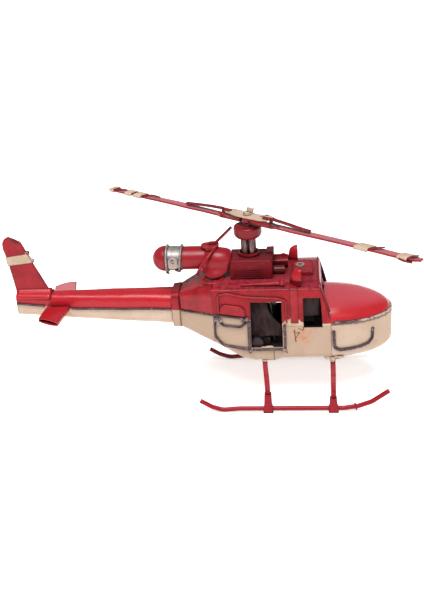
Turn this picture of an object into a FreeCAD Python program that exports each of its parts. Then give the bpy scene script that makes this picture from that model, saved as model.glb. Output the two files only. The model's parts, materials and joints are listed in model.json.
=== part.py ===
"""Hand-made tinplate helicopter model: folded sheet, bent wire and a pinned two-blade rotor."""
import FreeCAD, Part
import math
import os
import re

import Sketcher

Vector = FreeCAD.Vector
Rotation = FreeCAD.Rotation

# Driving dimensions in millimetres and degrees. Lengths along the model are measured forward
# from the mast, heights from the surface the skids stand on, and half widths from the middle.
DIMENSIONS = {
    "mast_x": 33.98,
    "wall": 0.8,
    "trim_wire": 0.8,
    # cabin
    "cabin_half": 28.0,
    "cabin_rear": -26.0,
    "roof_z": 96.0,
    "roof_side_z": 93.5,
    "roof_flat_half": 18.0,
    "roof_front": 49.0,
    "roof_edge_radius": 1.6,
    "nose_joint": 57.5,
    "belly_rear_z": 50.8,
    "belly_knee_x": -6.0,
    "belly_knee_z": 37.4,
    "belly_low_x": 2.4,
    "belly_low_z": 35.4,
    "belly_step_x": 18.5,
    "belly_step_z": 36.9,
    "belly_front_z": 37.2,
    "belly_radius": 6.0,
    "door_rear": 0.9,
    "door_front": 23.0,
    "door_sill": 48.0,
    "door_head": 84.0,
    "window_rear": 38.0,
    "window_front": 51.4,
    "window_sill": 63.4,
    "window_head": 86.5,
    "window_slant": 1.6,
    # seam between the red skin and the cream skin
    "seam_tail_z": 75.6,
    "seam_fin_z": 73.6,
    "seam_fin_x": -150.0,
    "seam_boom_z": 71.9,
    "seam_boom_x": -132.0,
    "seam_collar_z": 71.3,
    "seam_cabin_z": 74.2,
    "seam_door_z": 70.4,
    "seam_front_z": 64.4,
    # nose
    "nose_front": 100.8,
    "rim_z": 65.8,
    "dome_height": 15.8,
    "pan_low_z": 35.2,
    "pan_front": 102.0,
    "pan_radius": 9.0,
    "shield_post": 2.2,
    "shield_strip": 4.6,
    # tail cone, collar and boom stations
    "cone_front_x": -26.0,
    "cone_front_half": 28.0,
    "cone_front_low": 50.8,
    "cone_front_high": 96.0,
    "cone_front_top_radius": 8.0,
    "cone_front_low_radius": 6.0,
    "cone_rear_x": -52.0,
    "cone_rear_half": 11.0,
    "cone_rear_low": 55.6,
    "cone_rear_high": 83.8,
    "cone_rear_top_radius": 2.5,
    "cone_rear_low_radius": 5.0,
    "collar_front_x": -52.0,
    "collar_front_half": 12.2,
    "collar_front_low": 55.2,
    "collar_front_high": 84.6,
    "collar_front_top_radius": 5.0,
    "collar_front_low_radius": 5.5,
    "collar_rear_x": -57.4,
    "collar_rear_half": 11.9,
    "collar_rear_low": 55.5,
    "collar_rear_high": 84.2,
    "collar_rear_top_radius": 5.5,
    "collar_rear_low_radius": 5.5,
    "boom_front_x": -57.4,
    "boom_front_half": 10.6,
    "boom_front_low": 58.0,
    "boom_front_high": 82.6,
    "boom_front_top_radius": 7.5,
    "boom_front_low_radius": 5.0,
    "boom_rear_x": -176.4,
    "boom_rear_half": 5.0,
    "boom_rear_low": 65.6,
    "boom_rear_high": 82.2,
    "boom_rear_top_radius": 3.8,
    "boom_rear_low_radius": 3.0,
    # tail
    "fin_half": 0.8,
    "fin_base_z": 82.6,
    "fin_tip_z": 127.5,
    "plane_low_z": 71.6,
    "plane_high_z": 74.0,
    "plane_lead_x": -134.9,
    "plane_trail_x": -152.4,
    "tail_pin_x": -168.4,
    "tail_pin_z": 105.0,
    "tail_pin_radius": 0.9,
    "tail_rotor_y": 4.2,
    "tail_rotor_reach": 16.0,
    "tail_hub_radius": 2.4,
    # cabin interior
    "floor_z": 45.2,
    "floor_half": 23.6,
    "floor_ledge": 13.2,
    "seat_half": 21.0,
    # engine deck
    "cowl_rear": -13.0,
    "cowl_front": 17.0,
    "cowl_half": 14.6,
    "cowl_top_half": 11.0,
    "cowl_shoulder_z": 103.5,
    "cowl_top_z": 109.0,
    "collar_radius": 7.3,
    "collar_height": 2.4,
    "rod_radius": 1.7,
    "rod_ring": 3.9,
    "disc_radius": 10.0,
    "disc_low_z": 122.6,
    "disc_high_z": 131.4,
    # exhaust
    "tube_z": 107.3,
    "tube_radius": 8.4,
    "tube_rear": -60.5,
    "tube_front": -30.0,
    "cap_radius": 9.3,
    "cap_length": 9.4,
    "band_rear": -59.5,
    "band_front": -50.5,
    "elbow_x": -22.5,
    "elbow_y": -3.0,
    "elbow_z": 104.4,
    "elbow_radius": 10.8,
    "foot_x": -27.5,
    "foot_y": -12.6,
    "foot_radius": 5.0,
    # roof fittings
    "box_rear": 31.2,
    "box_front": 45.4,
    "box_right": -10.0,
    "box_left": 8.0,
    "box_top": 99.0,
    "eyelet_radius": 3.3,
    "eyelet_hole": 1.5,
    "hood_face_x": 36.6,
    "hood_depth": 7.4,
    "hood_y": 19.8,
    "hood_half": 5.0,
    "hood_height": 12.6,
    "strap_rear": 29.2,
    "strap_front": 34.4,
    # main rotor, measured along the blades from the mast
    "rotor_z": 135.0,
    "blade_reach": 132.1,
    "blade_root": 4.6,
    "blade_half": 2.9,
    "blade_sheet": 0.7,
    "blade_lip": 1.4,
    "pin_radius": 1.5,
    "pin_clearance": 0.05,
    "plate_half_length": 18.5,
    "plate_half_width": 6.6,
    "plate_lift": 3.4,
    # landing gear
    "skid_y": 38.5,
    "skid_radius": 1.7,
    "skid_z": 2.9,
    "strut_rear_x": 11.2,
    "strut_front_x": 58.4,
    "strut_width": 3.6,
    "strut_sheet": 1.2,
    "strut_knee_z": 17.4,
    "clamp_base": 7.2,
    "clamp_waist": 5.6,
    "clamp_top": 4.8,
    "clamp_rear_top": 15.5,
    "clamp_front_top": 11.8,
}
ROTOR_YAW = -32.6
ROTOR_TILT = 1.37

doc = FreeCAD.newDocument("tinplate_helicopter")
sheet = doc.addObject("Spreadsheet::Sheet", "dims")
for row, (alias, amount) in enumerate(DIMENSIONS.items(), 1):
    sheet.set("A%d" % row, alias)
    sheet.set("B%d" % row, str(amount))
    sheet.setAlias("B%d" % row, alias)
doc.recompute()
size = {alias: getattr(sheet, alias) for alias in DIMENSIONS}

subparts = []
first_x = {}


def formula(text):
    """Point every dimension named in the text at its cell."""
    return re.sub(
        r"[a-z][a-z_]+",
        lambda word: "dims." + word.group() if word.group() in DIMENSIONS else word.group(),
        str(text),
    )


def bind(thing, place, text):
    """Set one property of an object to a formula in the sheet's names."""
    thing.setExpression(place, formula(text))


def finish(thing, label):
    """Name a sub-part and stand it at the mast."""
    thing.Label = label
    bind(thing, "Placement.Base.x", "mast_x + (%s)" % first_x.get(thing.Name, "0"))
    subparts.append(thing)
    return thing


def primitive(kind, name, where=("0", "0", "0"), turn=None, **measures):
    """A Part primitive whose measures and position are formulas."""
    thing = doc.addObject("Part::" + kind, name)
    if turn:
        thing.Placement = FreeCAD.Placement(Vector(), turn)
    for measure, text in measures.items():
        bind(thing, measure, text)
    for letter, text in zip("xyz", where):
        bind(thing, "Placement.Base." + letter, text)
    first_x[thing.Name] = where[0]
    return thing


def block(name, x_low, x_high, y_low, y_high, z_low, z_high):
    """A box between two formulas on each axis."""
    return primitive(
        "Box", name, (x_low, y_low, z_low),
        Length="(%s) - (%s)" % (x_high, x_low),
        Width="(%s) - (%s)" % (y_high, y_low),
        Height="(%s) - (%s)" % (z_high, z_low),
    )


def cut(name, base, tool):
    """Base without tool."""
    thing = doc.addObject("Part::Cut", name)
    thing.Base = base
    thing.Tool = tool
    return thing


def common(name, base, tool):
    """Only what base and tool share."""
    thing = doc.addObject("Part::Common", name)
    thing.Base = base
    thing.Tool = tool
    return thing


def fuse(name, *pieces):
    """Several pieces as one solid."""
    thing = doc.addObject("Part::MultiFuse", name)
    thing.Shapes = list(pieces)
    return thing


def group(name, *pieces):
    """Several separate solids in one sub-part."""
    thing = doc.addObject("Part::Compound", name)
    thing.Links = list(pieces)
    return thing


def mirrored(thing):
    """The same piece on the other side of the middle plane."""
    copy = doc.addObject("Part::Mirroring", thing.Name + "Mirror")
    copy.Source = thing
    copy.Normal = Vector(0, 1, 0)
    return copy


def both_sides(name, thing):
    """A piece and its mirror image as two solids of one sub-part."""
    return group(name, thing, mirrored(thing))


def new_body(name):
    """An empty PartDesign body."""
    return doc.addObject("PartDesign::Body", name)


def new_sketch(body, name, role, offset="0"):
    """A sketch on one of the body's own origin planes, moved along the plane's normal."""
    sketch = body.newObject("Sketcher::SketchObject", name)
    plane = [item for item in body.Origin.OriginFeatures if item.Role == role][0]
    sketch.AttachmentSupport = [(plane, "")]
    sketch.MapMode = "FlatFace"
    bind(sketch, "AttachmentOffset.Base.z", offset)
    return sketch


def pin_corner(sketch, edge, end, across, up):
    """Hold the end of an edge at a formula on each axis."""
    for kind, text in (("DistanceX", across), ("DistanceY", up)):
        index = sketch.addConstraint(Sketcher.Constraint(kind, -1, 1, edge, end, 1.0))
        name = "%s_%d_%d" % (kind, edge, end)
        sketch.renameConstraint(index, name)
        bind(sketch, "Constraints." + name, text)


def outline(body, name, role, corners, offset="0"):
    """A closed sketch with straight sides between corners given as formulas."""
    sketch = new_sketch(body, name, role, offset)
    count = len(corners)
    ring = [
        Vector(10 * math.cos(2 * math.pi * step / count), 10 * math.sin(2 * math.pi * step / count), 0)
        for step in range(count)
    ]
    for step in range(count):
        sketch.addGeometry(Part.LineSegment(ring[step], ring[(step + 1) % count]))
    for step in range(count):
        sketch.addConstraint(Sketcher.Constraint("Coincident", step, 2, (step + 1) % count, 1))
    for step, (across, up) in enumerate(corners):
        pin_corner(sketch, step, 1, across, up)
    return sketch


def pad(body, name, sketch, length):
    """Fill a sketch, half of the length to each side of its plane."""
    feature = body.newObject("PartDesign::Pad", name)
    feature.Profile = sketch
    bind(feature, "Length", length)
    feature.SideType = "Symmetric"
    return feature


def pocket(body, name, sketch):
    """Cut a sketch right through the body, both ways."""
    feature = body.newObject("PartDesign::Pocket", name)
    feature.Profile = sketch
    feature.SideType = "Symmetric"
    feature.Length = 400
    return feature


def plate(name, role, corners, thickness, offset="0"):
    """A flat piece: an outline given a thickness."""
    body = new_body(name)
    pad(body, name + "Pad", outline(body, name + "Outline", role, corners, offset), thickness)
    return body


def round_edges(body, name, base, wanted, radius):
    """Round the edges of a feature that the test picks out."""
    doc.recompute()
    feature = body.newObject("PartDesign::Fillet", name)
    chosen = ["Edge%d" % (i + 1) for i, edge in enumerate(base.Shape.Edges) if wanted(edge)]
    feature.Base = (base, chosen)
    bind(feature, "Radius", radius)
    return feature


def hollow(body, name, base, wanted, wall="wall"):
    """Leave a wall inside the feature's faces and open the faces that the test picks out."""
    doc.recompute()
    feature = body.newObject("PartDesign::Thickness", name)
    chosen = ["Face%d" % (i + 1) for i, face in enumerate(base.Shape.Faces) if wanted(face)]
    feature.Base = (base, chosen)
    bind(feature, "Value", wall)
    feature.Reversed = True
    feature.Join = 0
    return feature


def face_normal(face):
    """The outward direction in the middle of a face."""
    u_low, u_high, v_low, v_high = face.ParameterRange
    return face.normalAt((u_low + u_high) / 2, (v_low + v_high) / 2)


def bent_path(points, bend):
    """Straight runs through the points, joined by tangent arcs."""
    edges = []
    start = points[0]
    for before, corner, after in zip(points, points[1:], points[2:]):
        into = (corner - before).normalize()
        out = (after - corner).normalize()
        turn = into.getAngle(out)
        room = min((corner - before).Length, (after - corner).Length)
        reach = min(bend * math.tan(turn / 2), 0.45 * room)
        first = corner - into * reach
        last = corner + out * reach
        depth = reach / math.tan((math.pi - turn) / 2) / (1 + 1 / math.cos(turn / 2))
        middle = (first + last) / 2 + (corner - (first + last) / 2).normalize() * abs(depth)
        edges.append(Part.LineSegment(start, first).toShape())
        edges.append(Part.Arc(first, middle, last).toShape())
        start = last
    edges.append(Part.LineSegment(start, points[-1]).toShape())
    return Part.Wire(edges)


def wire_solid(path, radius):
    """A round wire along a path."""
    first = path.OrderedEdges[0]
    heading = first.tangentAt(first.FirstParameter)
    circle = Part.makeCircle(radius, first.valueAt(first.FirstParameter), heading)
    return path.makePipeShell([Part.Wire(circle)], True, True)


def bent_wire(points, radius, bend=3.0):
    """A bent round wire through a list of (x, y, z) points."""
    return wire_solid(bent_path([Vector(*point) for point in points], bend), radius)


def shaped(name, shapes):
    """A feature that holds shapes made by code."""
    feature = doc.addObject("Part::Feature", name)
    feature.Shape = shapes[0] if len(shapes) == 1 else Part.makeCompound(shapes)
    return feature


def mirror_shape(shape):
    """A shape on the other side of the middle plane."""
    return shape.mirror(Vector(), Vector(0, 1, 0))


# ---------------------------------------------------------------- skins


def seam_block():
    """Everything below the seam, to part the cream skin from the red skin."""
    return plate(
        "SeamBlock", "XZ_Plane",
        [
            ("boom_rear_x - 5", "10"),
            ("nose_joint + 5", "10"),
            ("nose_joint + 5", "seam_front_z"),
            ("door_front", "seam_front_z"),
            ("door_rear", "seam_door_z"),
            ("cabin_rear", "seam_cabin_z"),
            ("collar_front_x", "seam_collar_z"),
            ("seam_boom_x", "seam_boom_z"),
            ("seam_fin_x", "seam_fin_z"),
            ("boom_rear_x - 5", "seam_tail_z"),
        ],
        "4*cabin_half",
    )


def cabin_skin():
    """The cabin as one folded tube, open at the rear, at the nose and at the windshield."""
    body = new_body("CabinSkin")
    side = outline(
        body, "CabinSide", "XZ_Plane",
        [
            ("cabin_rear", "belly_rear_z"),
            ("belly_knee_x", "belly_knee_z"),
            ("belly_low_x", "belly_low_z"),
            ("belly_step_x", "belly_low_z"),
            ("belly_step_x + 4.5", "belly_step_z"),
            ("nose_joint", "belly_front_z"),
            ("nose_joint", "rim_z"),
            ("roof_front", "roof_z"),
            ("cabin_rear", "roof_z"),
        ],
    )
    feature = pad(body, "CabinPad", side, "2*cabin_half")
    for name, half, flat in (("RoofSlopeLeft", "cabin_half", "roof_flat_half"),
                             ("RoofSlopeRight", "-cabin_half", "-roof_flat_half")):
        slope = outline(
            body, name, "YZ_Plane",
            [(half, "roof_side_z"), (half, "roof_z + 5"), (flat, "roof_z + 5"), (flat, "roof_z")],
        )
        feature = pocket(body, name + "Cut", slope)

    def along_side(edge):
        return edge.BoundBox.YLength < 0.01 and edge.BoundBox.XLength > 1

    def at_roof(edge):
        return along_side(edge) and abs(edge.BoundBox.ZMin - size["roof_side_z"]) < 0.1

    def at_belly(edge):
        return along_side(edge) and edge.BoundBox.ZMax < size["belly_rear_z"] + 0.1

    feature = round_edges(body, "RoofEdges", feature, at_roof, "roof_edge_radius")
    feature = round_edges(body, "BellyEdges", feature, at_belly, "belly_radius")

    def open_end(face):
        lean = face_normal(face)
        return lean.x < -0.99 or (lean.x > 0.8 and face.CenterOfMass.z > size["belly_front_z"])

    hollow(body, "CabinHollow", feature, open_end)
    doors = outline(
        body, "Doors", "XZ_Plane",
        [
            ("door_rear", "door_sill"),
            ("door_front", "door_sill"),
            ("door_front", "door_head"),
            ("door_rear", "door_head"),
        ],
    )
    pocket(body, "DoorOpenings", doors)
    windows = outline(
        body, "Windows", "XZ_Plane",
        [
            ("window_rear", "window_sill"),
            ("window_front", "window_sill"),
            ("window_front - window_slant", "window_head"),
            ("window_rear", "window_head"),
        ],
    )
    pocket(body, "WindowOpenings", windows)
    return body


def rounded_section(body, name, station, inset):
    """A box section with rounded corners at one station of the tail."""
    sketch = new_sketch(body, name, "YZ_Plane", station + "_x")
    half = size[station + "_half"] - inset
    low = size[station + "_low"] + inset
    high = size[station + "_high"] - inset
    top = size[station + "_top_radius"] - inset
    base = size[station + "_low_radius"] - inset
    turns = [(half, high, top, 0), (-half, high, top, 90), (-half, low, base, 180), (half, low, base, 270)]
    for across, up, radius, start in turns:
        centre = Vector(across - math.copysign(radius, across), up + (radius if up == low else -radius), 0)
        circle = Part.Circle(centre, Vector(0, 0, 1), radius)
        sketch.addGeometry(Part.ArcOfCircle(circle, math.radians(start), math.radians(start + 90)))
    for corner in range(4):
        arc = sketch.Geometry[corner]
        following = sketch.Geometry[(corner + 1) % 4]
        sketch.addGeometry(Part.LineSegment(arc.EndPoint, following.StartPoint))
        sketch.addConstraint(Sketcher.Constraint("Tangent", corner, 2, 4 + corner, 1))
        sketch.addConstraint(Sketcher.Constraint("Tangent", 4 + corner, 2, (corner + 1) % 4, 1))
    for line in (4, 6):
        sketch.addConstraint(Sketcher.Constraint("Horizontal", line))
    for line in (5, 7):
        sketch.addConstraint(Sketcher.Constraint("Vertical", line))
    holds = [
        ("DistanceX", 7, half, "%s_half - %s"),
        ("DistanceX", 5, -half, "-%s_half + %s"),
        ("DistanceY", 4, high, "%s_high - %s"),
        ("DistanceY", 6, low, "%s_low + %s"),
    ]
    for kind, line, amount, text in holds:
        index = sketch.addConstraint(Sketcher.Constraint(kind, -1, 1, line, 1, amount))
        sketch.renameConstraint(index, "%s_%d" % (kind, line))
        bind(sketch, "Constraints.%s_%d" % (kind, line), text % (station, inset))
    for corner, radius, side in ((0, top, "top"), (1, top, "top"), (2, base, "low"), (3, base, "low")):
        index = sketch.addConstraint(Sketcher.Constraint("Radius", corner, radius))
        sketch.renameConstraint(index, "Radius_%d" % corner)
        bind(sketch, "Constraints.Radius_%d" % corner, "%s_%s_radius - %s" % (station, side, inset))
    return sketch


def tail_skin(name, part):
    """A hollow skin between the front and rear stations of one part of the tail."""
    body = new_body(name)
    for kind, inset in (("AdditiveLoft", 0.0), ("SubtractiveLoft", size["wall"])):
        front = rounded_section(body, name + kind + "Front", part + "_front", inset)
        rear = rounded_section(body, name + kind + "Rear", part + "_rear", inset)
        feature = body.newObject("PartDesign::" + kind, name + kind)
        feature.Profile = front
        feature.Sections = [rear]
        feature.Ruled = True
    return body


def part_at_seam(skin, block_below, upper, lower):
    """The red half and the cream half of a skin."""
    finish(cut(skin.Name + "Upper", skin, block_below), upper)
    finish(common(skin.Name + "Lower", skin, block_below), lower)


# ---------------------------------------------------------------- nose


def half_bowl(name, centre, reach, half, height, wall, forward=True):
    """A hollow quarter of an ellipsoid, standing on its flat rim."""
    turn = Rotation(Vector(0, 0, 1), -90 if forward else 90)
    pieces = []
    for label, less in (("Outer", "0"), ("Inner", wall)):
        pieces.append(
            primitive(
                "Ellipsoid", name + label, centre, turn,
                Radius1="(%s) - (%s)" % (height, less),
                Radius2="(%s) - (%s)" % (half, less),
                Radius3="(%s) - (%s)" % (reach, less),
                Angle1="0", Angle2="90", Angle3="180",
            )
        )
    return cut(name, pieces[0], pieces[1])


def nose_dome():
    """The red dome, cut back along the windshield's slant."""
    bowl = half_bowl(
        "NoseBowl", ("roof_front", "0", "rim_z"), "nose_front - roof_front", "cabin_half", "dome_height",
        "wall"
    )
    behind = plate(
        "BehindWindshield", "XZ_Plane",
        [
            ("roof_front - 30", "rim_z - 5"),
            ("nose_joint", "rim_z - 5"),
            ("nose_joint", "rim_z"),
            ("roof_front", "roof_z"),
            ("roof_front - 30", "roof_z"),
        ],
        "3*cabin_half",
    )
    dome = cut("NoseDome", bowl, behind)
    finish(group("NoseDomePlaced", dome), "nose_dome")
    return dome


def pan_block(less):
    """A filled elliptical pan with a rounded bottom edge: a round one drawn out along the nose."""
    half = size["cabin_half"] - less
    reach = size["pan_front"] - size["roof_front"] - less
    low = size["pan_low_z"] + less
    drum = Part.makeCylinder(half, size["rim_z"] - low, Vector(0, 0, low))
    bottom = [edge for edge in drum.Edges if edge.BoundBox.ZMax < low + 0.01]
    drum = drum.makeFillet(size["pan_radius"] - less, bottom)
    stretch = FreeCAD.Matrix()
    stretch.scale(reach / half, 1, 1)
    drum = drum.transformGeometry(stretch)
    drum.translate(Vector(size["roof_front"], 0, 0))
    return drum


def nose_pan():
    """The cream pan under the dome, open at the top and towards the cabin."""
    shell = shaped("PanShell", [pan_block(0.0).cut(pan_block(size["wall"]))])
    rear = block("PanRear", "-20", "nose_joint", "-2*cabin_half", "2*cabin_half",
                 "pan_low_z - 5", "rim_z + 5")
    pan = cut("NosePan", shell, rear)
    finish(group("NosePanPlaced", pan), "nose_pan")
    return pan


def nose_rim_wire(dome):
    """The wire that lies on the pan's rim, round the foot of the dome."""
    radius = size["trim_wire"]
    centre = Vector(size["roof_front"], 0, size["rim_z"] + radius + 0.02)
    reach = size["nose_front"] - size["roof_front"] + radius - 0.3
    ellipse = Part.Ellipse(centre, reach, size["cabin_half"] + radius - 0.3)
    end = math.acos((size["nose_joint"] + 1.5 - size["roof_front"]) / reach)
    arc = Part.ArcOfEllipse(ellipse, -end, end).toShape()
    wire = shaped("RimWireRound", [wire_solid(Part.Wire(arc), radius)])
    finish(cut("NoseRimWire", wire, dome), "nose_rim_wire")


def windshield_frame(dome):
    """Two pillars, a post and a strip that stand in the slanted opening."""
    body = new_body("WindshieldFrame")
    slant = "sqrt((nose_joint - roof_front)^2 + (roof_z - rim_z)^2)"
    edge = "(cabin_half - 1.2)"
    pillar = "(cabin_half - 1.2 - 1.6*shield_post)"
    corners = [
        ("-" + edge, "1"),
        ("-" + edge, slant + " - roof_z + roof_side_z - 0.4"),
        ("-roof_flat_half", slant),
        ("roof_flat_half", slant),
        (edge, slant + " - roof_z + roof_side_z - 0.4"),
        (edge, "1"),
        (pillar, "1"),
        (pillar, slant + " - shield_strip"),
        ("shield_post/2", slant + " - shield_strip"),
        ("shield_post/2", "dome_height + 1.6"),
        ("-shield_post/2", "dome_height + 1.6"),
        ("-shield_post/2", slant + " - shield_strip"),
        ("-" + pillar, slant + " - shield_strip"),
        ("-" + pillar, "1"),
    ]
    sketch = outline(body, "ShieldOutline", "YZ_Plane", corners)
    feature = body.newObject("PartDesign::Pad", "ShieldPad")
    feature.Profile = sketch
    bind(feature, "Length", "wall")
    lean = math.degrees(
        math.atan2(size["nose_joint"] - size["roof_front"], size["roof_z"] - size["rim_z"])
    )
    body.Placement = FreeCAD.Placement(Vector(), Rotation(Vector(0, 1, 0), -lean))
    bind(body, "Placement.Base.z", "rim_z")
    bind(body, "Placement.Base.x", "nose_joint")
    finish(cut("WindshieldFrameTrim", body, dome), "windshield_frame")


# ---------------------------------------------------------------- inside the cabin


def interior():
    """The floor, the bulkhead, the seats and the drum on the floor."""
    tray = block("FloorTray", "belly_knee_x", "nose_joint - 2", "-floor_half", "floor_half",
                 "floor_z", "floor_z + wall")
    ledge = block("FloorLedge", "belly_knee_x", "30", "floor_half - wall", "floor_half",
                  "floor_z + wall", "floor_z + floor_ledge")
    finish(group("CabinFloor", tray, ledge), "cabin_floor")
    finish(
        block("RearBulkhead", "cabin_rear + 1", "cabin_rear + 1 + wall",
              "-cabin_half + 2", "cabin_half - 2", "belly_rear_z + 8", "roof_side_z - 1.2"),
        "rear_bulkhead",
    )
    rear = plate(
        "RearSeat", "XZ_Plane",
        [
            ("0", "floor_z + wall"),
            ("14", "floor_z + wall"),
            ("14", "floor_z + 7"),
            ("3.4", "floor_z + 7"),
            ("-3", "roof_z - 7"),
            ("-5", "roof_z - 7"),
        ],
        "2*seat_half",
    )
    finish(rear, "rear_seat")
    front = [
        ("33", "floor_z + wall"),
        ("46", "floor_z + wall"),
        ("46", "floor_z + 7"),
        ("37.4", "floor_z + 7"),
        ("34", "roof_z - 13"),
        ("32", "roof_z - 13"),
    ]
    seat = plate("FrontSeat", "XZ_Plane", front, "seat_half - 3", "(seat_half + 3)/2")
    finish(both_sides("FrontSeats", seat), "front_seats")
    drum = primitive(
        "Cylinder", "FloorDrum", ("5", "-26", "floor_z + wall + 4.2"), Rotation(Vector(1, 0, 0), -90),
        Radius="4.2", Height="4.4",
    )
    finish(drum, "floor_drum")


# ---------------------------------------------------------------- side fittings


def on_side(points, lift):
    """Points of the right side, given along and up, at a distance outside the cabin wall."""
    return [(along, -size["cabin_half"] - lift, up) for along, up in points]


def both_shapes(shapes):
    """Every shape and its mirror image."""
    return shapes + [mirror_shape(shape) for shape in shapes]


def door_panels():
    """The raised ridge and the pressed window bump behind each door."""
    ridge_radius = 0.7
    ridge = [(-21.8, 75.6), (-21.8, 90.2), (-15.0, 91.6), (-2.0, 88.4), (21.0, 87.2), (26.2, 85.2),
             (26.2, 68.0)]
    bump = [(-21.0, 75.8), (-3.0, 73.2), (-3.0, 78.8), (-5.4, 81.0), (-18.0, 83.0), (-20.0, 81.6)]
    shapes = [bent_wire(on_side(ridge, ridge_radius), ridge_radius, 2.6)]
    corners = [Vector(*point) for point in on_side(bump, 0)]
    face = Part.Face(Part.makePolygon(corners + corners[:1]))
    pillow = face.extrude(Vector(0, -1.6, 0))
    outer = [edge for edge in pillow.Edges if edge.BoundBox.YMax < -size["cabin_half"] - 1.5]
    shapes.append(pillow.makeFillet(0.9, outer))
    finish(shaped("DoorPanels", both_shapes(shapes)), "door_panels")


def door_wires():
    """The dark wires round the door's lower half, with the loop under the bump."""
    radius = size["trim_wire"]
    frame = [(-24.6, 73.6), (-24.6, 57.5), (-19.5, 50.6), (-1.6, 46.6)]
    post = [(-0.3, 70.0), (-0.3, 44.6)]
    loop = [(-22.6, 72.6), (-19.0, 66.2), (-6.0, 64.6), (-2.6, 68.6)]
    sill = [(1.2, 46.4), (23.2, 46.6)]
    front = [(24.7, 66.5), (24.7, 47.4)]
    shapes = [bent_wire(on_side(points, radius), radius, 5.0) for points in (frame, loop, sill, front)]
    shapes.append(bent_wire(on_side(post, 1.1), 1.1))
    finish(shaped("DoorWires", both_shapes(shapes)), "door_wires")


def seam_wires(skins):
    """The wires along the seam from the fin to the door, with a gap for the tail planes."""
    radius = 0.6
    clear = radius + 0.15
    behind = bent_wire(
        [
            (-176.0, -size["boom_rear_half"] - clear, size["seam_tail_z"]),
            (-154.4, -6.1 - clear, size["seam_fin_z"] + 0.4),
        ],
        radius,
    )
    boom = bent_wire(
        [
            (size["plane_lead_x"] + 1.0, -7.1 - clear, size["seam_boom_z"]),
            (size["boom_front_x"] - 1.0, -size["boom_front_half"] - clear, size["seam_collar_z"]),
        ],
        radius,
    )
    cone = bent_wire(
        [
            (size["cone_rear_x"] + 1.0, -size["cone_rear_half"] - radius - 0.8, size["seam_collar_z"]),
            (size["cone_front_x"] + 0.8, -size["cabin_half"] - radius, size["seam_cabin_z"] + 0.3),
            (size["door_rear"] - 2.4, -size["cabin_half"] - radius, size["seam_door_z"] + 0.6),
        ],
        radius, 6.0,
    )
    beside = cut("ConeSeamWire", shaped("ConeWireRound", [cone]), fuse("SeamSkins", *skins))
    straight = shaped("BoomSeamWires", [behind, boom])
    finish(both_sides("SeamWires", group("SeamWiresNear", beside, straight)), "seam_wires")


def nose_handles(pan):
    """The U-shaped wire on each side of the nose pan."""
    radius = 1.0
    reach = size["nose_front"] - size["roof_front"] + radius
    half = size["cabin_half"] + radius

    def beside(along, up):
        return (along, -half * math.sqrt(1 - ((along - size["roof_front"]) / reach) ** 2) - 0.05, up)

    route = [(59.2, 60.2), (59.6, 47.0), (63.6, 44.6), (71.0, 44.8), (78.0, 45.4), (83.6, 47.0), (86.6, 50.6),
             (86.8, 58.4)]
    handle = bent_wire([beside(along, up) for along, up in route], radius, 3.0)
    wires = shaped("HandleWires", both_shapes([handle]))
    finish(cut("NoseHandles", wires, pan), "nose_handles")


def roof_strap():
    """The folded strap over the roof and down both sides in front of the doors."""
    body = new_body("RoofStrap")
    over = "(cabin_half + 0.7)"
    corners = [
        ("-" + over, "seam_front_z + 3"),
        ("-" + over, "roof_side_z + 0.5"),
        ("-roof_flat_half", "roof_z + 0.7"),
        ("roof_flat_half", "roof_z + 0.7"),
        (over, "roof_side_z + 0.5"),
        (over, "seam_front_z + 3"),
        ("cabin_half", "seam_front_z + 3"),
        ("cabin_half", "roof_side_z"),
        ("roof_flat_half", "roof_z"),
        ("-roof_flat_half", "roof_z"),
        ("-cabin_half", "roof_side_z"),
        ("-cabin_half", "seam_front_z + 3"),
    ]
    sketch = outline(body, "StrapOutline", "YZ_Plane", corners, "(strap_rear + strap_front)/2")
    pad(body, "StrapPad", sketch, "strap_front - strap_rear")
    finish(group("RoofStrapPlaced", body), "roof_strap")
    return body


# ---------------------------------------------------------------- engine deck


def engine_cowl():
    """The hollow housing under the mast."""
    body = new_body("EngineCowl")
    corners = [
        ("-cowl_half", "roof_z"),
        ("cowl_half", "roof_z"),
        ("cowl_half", "cowl_shoulder_z"),
        ("cowl_top_half", "cowl_top_z"),
        ("-cowl_top_half", "cowl_top_z"),
        ("-cowl_half", "cowl_shoulder_z"),
    ]
    sketch = outline(body, "CowlOutline", "YZ_Plane", corners, "(cowl_rear + cowl_front)/2")
    feature = pad(body, "CowlPad", sketch, "cowl_front - cowl_rear")

    def along_shoulder(edge):
        return edge.BoundBox.XLength > 5 and edge.BoundBox.ZMin > size["roof_z"] + 1

    feature = round_edges(body, "CowlEdges", feature, along_shoulder, "2.2")
    hollow(body, "CowlHollow", feature, lambda face: face_normal(face).z < -0.9)
    finish(body, "engine_cowl")


def cowl_grille():
    """A louvred plate on each side of the cowl."""
    body = new_body("CowlGrille")
    frame = outline(
        body, "GrilleFrame", "XZ_Plane",
        [
            ("-11", "roof_z + 0.6"),
            ("10", "roof_z + 0.6"),
            ("10", "cowl_shoulder_z"),
            ("-11", "cowl_shoulder_z"),
        ],
        "cowl_half + 0.3",
    )
    pad(body, "GrillePad", frame, "0.6")
    for number in range(4):
        low = "roof_z + %.1f" % (1.6 + 1.5 * number)
        high = low + " + 0.8"
        slot = outline(
            body, "Slot%d" % number, "XZ_Plane",
            [("-10", low), ("9", low), ("9", high), ("-10", high)],
        )
        pocket(body, "SlotCut%d" % number, slot)
    finish(both_sides("CowlGrilles", body), "cowl_grille")


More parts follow.
